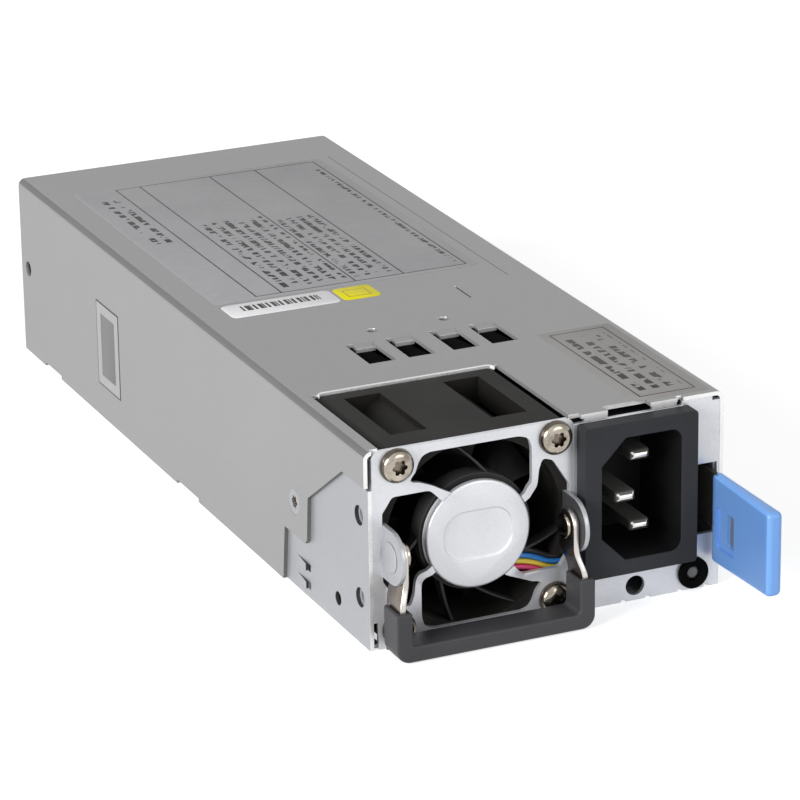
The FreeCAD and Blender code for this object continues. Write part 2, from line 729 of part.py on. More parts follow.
# ---- fan leads -------------------------------------------------------------
lead_radius = 0.5
lead_pitch = 1.15
lead_bend = 3.0
lead_top = board_top + 0.95 + 3 * lead_pitch
lead_side_gap = 1.1
lead_end_y = board_front_y - 0.8
socket_front_y = board_front_y + 4.0


def lead(index):
    """One fan lead: out of the motor base, across the frame, back to the board."""
    z = lead_top - index * lead_pitch
    y = plate_back + 1.5
    start = V(fan_x + 0.195 * fan_size + index * 0.2, y, z)
    x_out = fan_x + fan_edge + lead_side_gap
    corner = V(x_out, y, z)
    path = Part.makePolygon([start, corner - X_AXIS * lead_bend, corner + Y_AXIS * lead_bend,
                             V(x_out, lead_end_y, z)])
    ring = []
    for k in range(6):
        turn = math.radians(60 * k)
        ring.append(start + V(0, math.cos(turn), math.sin(turn)) * lead_radius)
    return path.makePipeShell([Part.makePolygon(ring + [ring[0]])], True, False, 1)


def lead_tunnel():
    """Gap in the fan's front flange and motor base that the leads pass."""
    z_high = lead_top + lead_radius + 0.25
    z_low = lead_top - 3 * lead_pitch - lead_radius - 0.25
    return block(fan_x + 0.19 * fan_size, fan_x + fan_edge + 1, plate_back - 0.1, plate_back + 4.8,
                 z_low, z_high)


def lead_plug():
    z_mid = lead_top - 1.5 * lead_pitch
    x_mid = fan_x + fan_edge + lead_side_gap
    return block(x_mid - 1.6, x_mid + 1.6, lead_end_y, socket_front_y, z_mid - 2.6, z_mid + 2.6)


def lead_socket():
    """Board header that takes the leads' plug."""
    z_mid = lead_top - 1.5 * lead_pitch
    x_mid = fan_x + fan_edge + lead_side_gap
    return block(x_mid - 2.4, x_mid + 2.4, socket_front_y, socket_front_y + 4.0, board_top, z_mid + 3.4)


# ---- AC inlet --------------------------------------------------------------
def socket_outline(y):
    """Outline of the socket: two long chamfers on the side of the earth pin."""
    left, right = inlet_x - socket_width / 2, inlet_x + socket_width / 2
    low, high = inlet_z - socket_height / 2, inlet_z + socket_height / 2
    cut = socket_chamfer
    return [V(left, y, low + cut), V(left + cut, y, low), V(right, y, low),
            V(right, y, high), V(left + cut, y, high), V(left, y, high - cut)]


def inlet_housing():
    bezel = block(inlet_x - bezel_width / 2, inlet_x + bezel_width / 2, inlet_face, front,
                  inlet_z - bezel_height / 2, inlet_z + bezel_height / 2)
    bezel = rounded(bezel, bezel_corner, lambda e: runs_along(e, Y_AXIS))
    body = block(inlet_x - inlet_body_width / 2, inlet_x + inlet_body_width / 2,
                 front, inlet_face + socket_depth + inlet_wall,
                 inlet_z - inlet_body_height / 2, inlet_z + inlet_body_height / 2)
    socket = prism(socket_outline(inlet_face - 1), Y_AXIS, socket_depth + 1)
    socket = rounded(socket, socket_corner,
                     lambda e: runs_along(e, Y_AXIS) and e.BoundBox.XMin > inlet_x + 1)
    shape = join([bezel, body]).cut(socket)
    return shape.cut([pin_blank(x, z, lead_out, 0) for x, z, lead_out in pin_places()])


def pin_places():
    line_x = inlet_x + pin_line_offset
    return [(line_x, inlet_z + pin_spacing / 2, 0), (line_x, inlet_z - pin_spacing / 2, 0),
            (inlet_x + earth_pin_offset, inlet_z, earth_pin_lead)]


def pin_blank(x, z, lead_out, taper):
    tip_y = inlet_face + pin_set_back - lead_out
    end_y = inlet_face + socket_depth + inlet_wall + pin_tail
    blade = block(x - pin_width / 2, x + pin_width / 2, tip_y, end_y,
                  z - pin_thickness / 2, z + pin_thickness / 2)
    if taper:
        blade = chamfered(blade, taper, lambda e: at_y(e, tip_y))
    return blade


def inlet_pins():
    return Part.makeCompound([pin_blank(x, z, out, pin_taper) for x, z, out in pin_places()])


# ---- latch -----------------------------------------------------------------
leaf_outer = inner_half - leaf_wall_gap
leaf_inner = leaf_outer - leaf_thickness
cap_y1 = front - cap_back
cap_y0 = cap_y1 - cap_length


def latch_leaf():
    """Flat spring: root, tooth side and the tongue inside the cap."""
    half = leaf_height / 2
    strip = block(leaf_inner, leaf_outer, cap_y0 + 2.4, leaf_root_y - 0.4,
                  leaf_z - half, leaf_z + half)
    root = rod(leaf_thickness / 2, leaf_height,
               V(leaf_inner + leaf_thickness / 2, leaf_root_y - 0.4, leaf_z - half), Z_AXIS)
    th = tooth_height / 2
    reach = half_width + tooth_reach
    outline = [V(leaf_outer - 0.2, tooth_y + tooth_length, leaf_z - th),
               V(reach - 0.9, tooth_y + 1.5, leaf_z - th), V(reach, tooth_y + 0.9, leaf_z - th),
               V(reach, tooth_y, leaf_z - th), V(leaf_outer - 0.2, tooth_y, leaf_z - th)]
    hook = prism(outline, Z_AXIS, tooth_height)
    return join([strip, root, hook])


def rivet_places():
    return [V(leaf_inner, foot_front + y, leaf_z) for y in (3.5, 8.5)]


def rivet_shanks():
    return [many_sided(rivet_radius, chassis_half - leaf_inner, place, X_AXIS, 12) for place in rivet_places()]


def latch_foot():
    """Fixed end of the latch spring, spaced off the chassis wall."""
    half = leaf_height / 2
    pad = block(leaf_inner, leaf_outer, foot_front, foot_front + latch_foot_length,
                leaf_z - half, leaf_z + half)
    spacer = block(leaf_outer, inner_half, foot_front + 1, foot_front + latch_foot_length,
                   leaf_z - half, leaf_z + half)
    return join([pad, spacer]).cut(rivet_shanks())


def latch_rivets():
    heads = [many_sided(rivet_radius + 0.8, 0.7, place - X_AXIS * 0.7, X_AXIS, 12) for place in rivet_places()]
    return Part.makeCompound([join([head, shank]) for head, shank in zip(heads, rivet_shanks())])


def latch_cap():
    x0, x1 = cap_x, cap_x + cap_thickness
    outline = [V(x0, cap_y1, cap_bottom), V(x0, cap_y0, cap_bottom + cap_taper),
               V(x0, cap_y0, cap_top - cap_taper), V(x0, cap_y1, cap_top)]
    shell = prism(outline, X_AXIS, cap_thickness)
    shell = rounded(shell, 1.5, lambda e: runs_along(e, X_AXIS))
    half = leaf_height / 2
    pocket = block(leaf_inner, leaf_outer, cap_y0 + 2.4, cap_y1 + 1, leaf_z - half, leaf_z + half)
    y1 = cap_y1 - cap_window_y
    middle = (cap_bottom + cap_top) / 2 - 1.3
    low, high = middle - cap_window_height / 2, middle + cap_window_height / 2
    ramp = [V(x0 - 0.1, y1, low), V(x0 - 0.1, y1 - cap_window_length, low),
            V(leaf_inner, y1 - cap_window_length, low), V(leaf_inner, y1 - cap_window_length / 2, low)]
    return shell.cut([pocket, prism(ramp, Z_AXIS, cap_window_height)])


# ---- handle ----------------------------------------------------------------
def handle_bail():
    """Flat steel bail: two joggled arms joined across the bottom in the grip."""
    arms = []
    core_low = grip_bottom + 1.0
    front_y = arm_low_y - arm_width / 2 + 0.4
    back_y = arm_low_y + arm_width / 2 - 0.4
    knee = pivot_z - arm_joggle_start
    ankle = knee - arm_joggle_length
    for side in (-1, 1):
        outer = fan_x + side * arm_outer
        inner = outer - side * arm_thickness
        x0 = min(outer, inner)
        disc = rod(arm_width / 2, arm_thickness, V(x0, pivot_y, pivot_z), X_AXIS)
        upper = block(x0, x0 + arm_thickness, pivot_y - arm_width / 2, pivot_y + arm_width / 2,
                      knee, pivot_z)
        shift = side * arm_joggle
        slant = [V(outer, 0, knee), V(inner, 0, knee), V(inner + shift, 0, ankle), V(outer + shift, 0, ankle)]
        joggle = prism([V(p.x, front_y, p.z) for p in slant], Y_AXIS, back_y - front_y)
        lower = block(x0 + shift, x0 + shift + arm_thickness, front_y, back_y, core_low, ankle)
        arms.append(join([disc, upper, joggle, lower]))
    low_left = fan_x - arm_low_outer
    low_right = fan_x + arm_low_outer
    cross = block(low_left, low_right, front_y, back_y, core_low, core_low + arm_thickness)
    bail = join(arms + [cross])
    reach = 2 * arm_outer + 4
    hole = rod(pivot_radius + running_clearance, reach, V(fan_x - reach / 2, pivot_y, pivot_z), X_AXIS)
    return bail.cut(hole)


def handle_grip():
    x0, x1 = fan_x - grip_outer, fan_x + grip_outer
    y0, y1 = grip_y - grip_depth / 2, grip_y + grip_depth / 2
    outer = block(x0, x1, y0, y1, grip_bottom, grip_top)
    outer = rounded(outer, grip_corner,
                    lambda e: runs_along(e, Y_AXIS) and e.BoundBox.ZMax < grip_bottom + 1)
    inner = block(x0 + grip_leg_width, x1 - grip_leg_width, y0 - 1, y1 + 1,
                  grip_bottom + grip_bar_height, grip_top + 2)
    inner = rounded(inner, grip_inner_corner,
                    lambda e: runs_along(e, Y_AXIS) and e.BoundBox.ZMax < grip_top)
    grip = outer.cut(inner)
    return grip.cut(handle_bail())


def pivot_rivets():
    rivets = []
    for side in (-1, 1):
        outer = fan_x + side * ear_outer
        stack = ear_thickness + arm_thickness + 2 * pivot_side_gap
        outward = X_AXIS * side
        shank = many_sided(pivot_radius, stack, V(outer, pivot_y, pivot_z), outward * -1, 16)
        rim = many_sided(pivot_head_radius, pivot_head_height, V(outer, pivot_y, pivot_z), outward, 24)
        head = many_sided(pivot_head_radius - 0.5, 0.7,
                          V(outer, pivot_y, pivot_z) - outward * (stack + 0.7), outward, 20)
        rivets.append(join([shank, rim, head]))
    return Part.makeCompound(rivets)


# ---- lamp ------------------------------------------------------------------
def lamp_holder():
    flange = many_sided(lamp_flange_radius, lamp_reach, V(lamp_x, front - lamp_reach, lamp_z), Y_AXIS, 28)
    barrel = many_sided(lamp_body_radius, lamp_depth, V(lamp_x, front, lamp_z), Y_AXIS, 20)
    bore = many_sided(lamp_lens_radius, lamp_depth + 3, V(lamp_x, front - 2, lamp_z), Y_AXIS, 20)
    return join([flange, barrel]).cut(bore)


def lamp_lens():
    return many_sided(lamp_lens_radius, lamp_depth + 0.4, V(lamp_x, front - 0.3, lamp_z), Y_AXIS, 20)


# ---- board -----------------------------------------------------------------
def across(share):
    return share * board_half


def along(share):
    return board_front_y + share * board_length


def above(share):
    return board_top + share * headroom


def board_screw_places():
    return [(side * (board_half - 4.0), y) for side in (-1, 1)
            for y in (board_front_y + 4.0, along(0.4957), rear - 9)]


def main_board():
    plate = block(-board_half, board_half, board_front_y, board_rear_y, board_z, board_top)
    card = block(-card_width / 2, card_width / 2, rear - 6, rear + card_reach, board_z, board_top)
    card = chamfered(card, 0.5, lambda e: at_y(e, rear + card_reach))
    cuts = [many_sided(board_hole_radius, 4, V(x, y, board_z - 1), Z_AXIS, 6) for x, y in board_screw_places()]
    return join([plate, card]).cut(cuts)


def card_fingers():
    fingers = []
    for k in range(finger_count):
        x = (k - (finger_count - 1) / 2) * finger_pitch
        y1 = rear + card_reach - 0.9
        for z in (board_top, board_z - finger_thickness):
            fingers.append(block(x - finger_width / 2, x + finger_width / 2, y1 - finger_length, y1,
                                 z, z + finger_thickness))
    return Part.makeCompound(fingers)


def standoffs():
    posts = []
    for x, y in board_screw_places():
        posts.append(many_sided(standoff_radius, board_z - sheet, V(x, y, sheet), Z_AXIS, 6))
    return Part.makeCompound(posts)


def board_screws():
    screws = []
    for x, y in board_screw_places():
        head = many_sided(board_screw_radius, board_screw_height, V(x, y, board_top), Z_AXIS, 6)
        shank = many_sided(board_shank_radius, board_thickness, V(x, y, board_z), Z_AXIS, 6)
        screws.append(join([head, shank]))
    return Part.makeCompound(screws)


def insulator():
    film = block(-board_half, board_half, board_front_y, board_rear_y, sheet, sheet + insulator_thickness)
    return film.cut([many_sided(standoff_radius + 0.3, 2, V(x, y, 0), Z_AXIS, 6)
                     for x, y in board_screw_places()])


def on_board(x0, x1, y0, y1, height, lift=0.0):
    """A block placed by shares of the board's half width, its length and the headroom."""
    return block(across(x0), across(x1), along(y0), along(y1), above(lift), above(lift + height))


def standing_can(radius, height, x, y):
    return many_sided(radius * round_unit, height * headroom, V(across(x), along(y), board_top), Z_AXIS, 20)


def bulk_capacitors():
    return Part.makeCompound([standing_can(0.257, 0.918, -0.705, y) for y in (0.297, 0.423)])


def output_capacitors():
    return Part.makeCompound([standing_can(0.115, 0.506, x, 0.8857)
                              for x in (-0.777, -0.518, -0.259, 0.403, 0.662)])


pfc_core_radius = 0.345 * round_unit
pfc_core_hole = 0.161 * round_unit
pfc_core_height = 0.348 * headroom
pfc_wire = 1.2


def pfc_choke_core():
    centre = V(across(0.616), along(0.357), board_top + pfc_wire + 0.3)
    ring = many_sided(pfc_core_radius, pfc_core_height, centre, Z_AXIS, 32)
    return ring.cut(many_sided(pfc_core_hole, pfc_core_height + 2, centre - Z_AXIS, Z_AXIS, 32))


def pfc_choke_winding():
    """Toroid winding: copper turns over the outside and inside of the ring."""
    turn_count = 10
    top = pfc_core_height + 0.2
    turns = []
    for k in range(turn_count):
        loop = block(pfc_core_hole - pfc_wire - 0.1, pfc_core_radius + pfc_wire, -0.8, 0.8,
                     -pfc_wire, top + pfc_wire)
        loop = loop.cut(block(pfc_core_hole - 0.1, pfc_core_radius, -1, 1, -0.1, top))
        loop.rotate(V(0, 0, 0), Z_AXIS, 360 / turn_count * k)
        loop.translate(V(across(0.616), along(0.357), board_top + pfc_wire + 0.2))
        turns.append(loop)
    return Part.makeCompound(turns)


transformer_x, transformer_y = 0.403, 0.621
core_low, core_high = 0.158, 0.601
core_leg, core_reach = 0.173, 0.345


def transformer_core():
    outer = on_board(transformer_x - 0.46, transformer_x + 0.46,
                     transformer_y - 0.066, transformer_y + 0.066, 0.76)
    windows = []
    for low, high in ((-core_reach, -core_leg), (core_leg, core_reach)):
        windows.append(on_board(transformer_x + low, transformer_x + high,
                                transformer_y - 0.07, transformer_y + 0.07, core_high - core_low, core_low))
    return outer.cut(windows)


def transformer_winding():
    outer = on_board(transformer_x - 0.334, transformer_x + 0.334,
                     transformer_y - 0.099, transformer_y + 0.099, 0.418, core_low + 0.0125)
    outer = chamfered(outer, 0.115 * board_half, lambda e: runs_along(e, Z_AXIS))
    leg = on_board(transformer_x - core_leg, transformer_x + core_leg,
                   transformer_y - 0.066, transformer_y + 0.066, core_high - core_low, core_low)
    return outer.cut(leg)


def common_mode_choke():
    foot_height = 0.076
    radius, width = 0.259 * round_unit, 0.0595 * board_length
    centre = V(across(0.69), along(0.1157), above(foot_height) + 0.955 * radius)
    ring = many_sided(radius, width, centre, Y_AXIS, 24)
    ring = ring.cut(many_sided(0.121 * round_unit, width + 2, centre - Y_AXIS, Y_AXIS, 24))
    return join([ring, on_board(0.432, 0.948, 0.109, 0.182, foot_height)])


def film_capacitors():
    return Part.makeCompound([on_board(-0.863, -0.345, y, y + 0.0528, 0.475) for y in (0.0529, 0.132)])


def disc_capacitors():
    discs = []
    for x in (-0.216, 0.043):
        disc = many_sided(0.121 * round_unit, 2.6, V(across(x), along(0.066), above(0.171)), Y_AXIS, 16)
        foot = block(across(x) - 0.5, across(x) + 0.5, along(0.066) + 0.8, along(0.066) + 1.8,
                     board_top, board_top + 2.0)
        discs.append(join([disc, foot]))
    return Part.makeCompound(discs)


def relay():
    return on_board(-0.173, 0.23, 0.132, 0.205, 0.443)


def fuse():
    radius = 0.08 * round_unit
    place = V(across(-0.3165), along(0.238), board_top + radius)
    return many_sided(radius, 0.576 * board_half, place, X_AXIS, 12)


def fin_bank(x0, x1, y0, y1, height, count):
    """Extruded heat sink: a thin base wall with fins across the air's way."""
    wall = 0.046
    shapes = [on_board(x0, x0 + wall, y0, y1, height)]
    for k in range(count):
        lift = 0.063 + k * (height - 0.126) / (count - 1)
        shapes.append(on_board(x0 + wall, x1, y0, y1, 0.032, lift))
    return join(shapes)


def primary_heat_sink():
    return fin_bank(-0.3626, -0.1324, 0.284, 0.7, 0.854, 6)


def secondary_heat_sink():
    return fin_bank(-0.806, -0.518, 0.555, 0.806, 0.76, 6)


def primary_transistor():
    """Flat power package standing against the heat sink's wall."""
    return on_board(-0.495, -0.3626, 0.4957, 0.595, 0.633)


def rectifiers():
    return Part.makeCompound([on_board(-0.932, -0.806, y, y + 0.099, 0.57) for y in (0.5585, 0.6907)])


def control_board():
    chips = [on_board(0.092, 0.132, y, y + 0.0463, 0.222, 0.253) for y in (0.317, 0.3966, 0.4627)]
    return join([on_board(0.0576, 0.092, 0.291, 0.529, 0.696)] + chips)


def output_bus():
    """Copper bus bars from the rectifiers to the card edge."""
    return Part.makeCompound([on_board(x, x + 0.0576, 0.7535, 0.9517, 0.285) for x in (-0.0576, 0.115)])


parts = {
    "chassis": chassis(),
    "front_plate": front_plate(),
    "fan_guard": fan_guard(),
    "guard_hub": guard_hub(),
    "handle_ears": Part.makeCompound([ear(-1), ear(1)]),
    "top_cover": join([cover()] + hook_tongues()),
    "cover_screw": cover_screw(),
    "slot_clips": slot_clips(),
    "fan_frame": fan_frame().cut(lead_tunnel()),
    "fan_motor_base": fan_motor_base().cut(lead_tunnel()),
    "fan_bearing": fan_bearing(),
    "fan_rotor": fan_rotor(),
    "fan_blades": fan_blades(),
    "fan_shaft": fan_shaft(),
    "fan_screws": fan_screws(),
    "fan_leads": Part.makeCompound([lead(k) for k in range(4)]),
    "fan_lead_plug": lead_plug(),
    "fan_lead_socket": lead_socket(),
    "inlet_housing": inlet_housing(),
    "inlet_pins": inlet_pins(),
    "latch_leaf": latch_leaf(),
    "latch_foot": latch_foot(),
    "latch_rivets": latch_rivets(),
    "latch_cap": latch_cap(),
    "handle_bail": handle_bail(),
    "handle_grip": handle_grip(),
    "handle_rivets": pivot_rivets(),
    "lamp_holder": lamp_holder(),
    "lamp_lens": lamp_lens(),
    "main_board": main_board(),
    "card_fingers": card_fingers(),
    "board_standoffs": standoffs(),
    "board_screws": board_screws(),
    "insulating_film": insulator(),
    "bulk_capacitors": bulk_capacitors(),
    "output_capacitors": output_capacitors(),
    "pfc_choke_core": pfc_choke_core(),
    "pfc_choke_winding": pfc_choke_winding(),
    "transformer_core": transformer_core(),
    "transformer_winding": transformer_winding(),
    "line_choke": common_mode_choke(),
    "film_capacitors": film_capacitors(),
    "disc_capacitors": disc_capacitors(),
    "inrush_relay": relay(),
    "line_fuse": fuse(),
    "primary_heat_sink": primary_heat_sink(),
    "secondary_heat_sink": secondary_heat_sink(),
    "primary_transistor": primary_transistor(),
    "rectifiers": rectifiers(),
    "control_board": control_board(),
    "output_bus": output_bus(),
}

os.makedirs("parts", exist_ok=True)
for name, shape in parts.items():
    shape.exportStep("parts/" + name + ".step")
    print(name, len(shape.Solids), shape.isValid(), round(shape.Volume, 2))
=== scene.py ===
"""Looks of the hot swap power supply, built round its packed sub-parts (metres)."""
import json
import math

import bpy
import bmesh
from mathutils import Matrix, Vector


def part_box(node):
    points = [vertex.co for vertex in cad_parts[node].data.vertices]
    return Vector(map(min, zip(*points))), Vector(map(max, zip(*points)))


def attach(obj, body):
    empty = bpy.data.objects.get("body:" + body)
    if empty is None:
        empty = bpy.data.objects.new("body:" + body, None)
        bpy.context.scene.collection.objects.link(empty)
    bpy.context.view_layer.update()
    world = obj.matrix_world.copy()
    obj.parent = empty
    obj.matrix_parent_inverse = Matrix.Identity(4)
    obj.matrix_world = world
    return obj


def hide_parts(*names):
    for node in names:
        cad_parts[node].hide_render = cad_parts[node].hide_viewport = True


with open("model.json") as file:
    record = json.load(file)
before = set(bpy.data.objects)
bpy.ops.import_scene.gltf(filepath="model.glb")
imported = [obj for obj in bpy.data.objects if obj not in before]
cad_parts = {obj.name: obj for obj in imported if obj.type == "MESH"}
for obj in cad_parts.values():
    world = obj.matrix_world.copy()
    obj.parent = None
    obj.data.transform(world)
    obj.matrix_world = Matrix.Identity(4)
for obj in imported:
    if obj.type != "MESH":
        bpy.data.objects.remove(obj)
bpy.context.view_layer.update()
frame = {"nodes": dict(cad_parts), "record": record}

MM = 0.001
nodes = frame["nodes"]
body_of = {node: body for body, members in frame["record"]["behaviour"]["bodies"].items() for node in members}


# ---- shader helpers ------------------------------------------------------------------
def new_material(name):
    made = bpy.data.materials.new(name)
    made.use_nodes = True
    tree = made.node_tree
    return made, tree, tree.nodes["Principled BSDF"]


def noise(tree, scale, detail=3.0, stretch=(1, 1, 1)):
    """Noise on object coordinates, stretched along the axes."""
    coords = tree.nodes.new("ShaderNodeTexCoord")
    mapping = tree.nodes.new("ShaderNodeMapping")
    mapping.inputs["Scale"].default_value = stretch
    texture = tree.nodes.new("ShaderNodeTexNoise")
    texture.inputs["Scale"].default_value = scale
    texture.inputs["Detail"].default_value = detail
    tree.links.new(coords.outputs["Object"], mapping.inputs["Vector"])
    tree.links.new(mapping.outputs["Vector"], texture.inputs["Vector"])
    return texture.outputs["Fac"]


def between(tree, value, low, high, start=0.3, end=0.7):
    """Maps a value's range from start to end onto low to high."""
    ranged = tree.nodes.new("ShaderNodeMapRange")
    ranged.inputs["From Min"].default_value = start
    ranged.inputs["From Max"].default_value = end
    ranged.inputs["To Min"].default_value = low
    ranged.inputs["To Max"].default_value = high
    tree.links.new(value, ranged.inputs["Value"])
    return ranged.outputs["Result"]


def new_mix(tree, factor):
    """A colour mix node, whose inputs 6 and 7 are the colours at factor 0 and 1."""
    mix = tree.nodes.new("ShaderNodeMix")
    mix.data_type = "RGBA"
    tree.links.new(factor, mix.inputs[0])
    return mix


def blend_colours(tree, factor, first, second):
    mix = new_mix(tree, factor)
    mix.inputs[6].default_value = (*first, 1)
    mix.inputs[7].default_value = (*second, 1)
    return mix.outputs[2]


def calculated(tree, operation, value, *others):
    """A Math node on one linked value and one or two fixed ones."""
    node = tree.nodes.new("ShaderNodeMath")
    node.operation = operation
    tree.links.new(value, node.inputs[0])
    for index, other in enumerate(others, 1):
        node.inputs[index].default_value = other
    return node.outputs[0]


def combined(tree, operation, first, second):
    """A Math node on two linked values."""
    node = tree.nodes.new("ShaderNodeMath")
    node.operation = operation
    tree.links.new(first, node.inputs[0])
    tree.links.new(second, node.inputs[1])
    return node.outputs[0]


def bump(tree, shader, value, strength, distance):
    node = tree.nodes.new("ShaderNodeBump")
    node.inputs["Strength"].default_value = strength
    node.inputs["Distance"].default_value = distance
    tree.links.new(value, node.inputs["Height"])
    tree.links.new(node.outputs["Normal"], shader.inputs["Normal"])


# ---- finishes ------------------------------------------------------------------------
def grey(value):
    return (value, value, value)


def surface(name, colour, second, metallic, rough, grain, stretch=(1, 1, 1),
            smear=40, depth=0.00002, strength=0.25, coat=0.0, gloss=0.5):
    """A finish with fine grain, slow colour change and uneven gloss."""
    made, tree, shader = new_material(name)
    shader.inputs["Metallic"].default_value = metallic
    shader.inputs["Coat Weight"].default_value = coat
    shader.inputs["Specular IOR Level"].default_value = gloss
    fine = noise(tree, grain, 4.0, stretch)
    slow = noise(tree, smear)
    mixed = calculated(tree, "MULTIPLY_ADD", fine, 0.5)
    tree.links.new(between(tree, slow, 0.0, 0.5), mixed.node.inputs[2])
    factor = between(tree, mixed, 0.0, 1.0, 0.25, 0.75)
    tree.links.new(blend_colours(tree, factor, colour, second), shader.inputs["Base Color"])
    tree.links.new(between(tree, slow, *rough), shader.inputs["Roughness"])
    bump(tree, shader, fine, strength, depth)
    return made


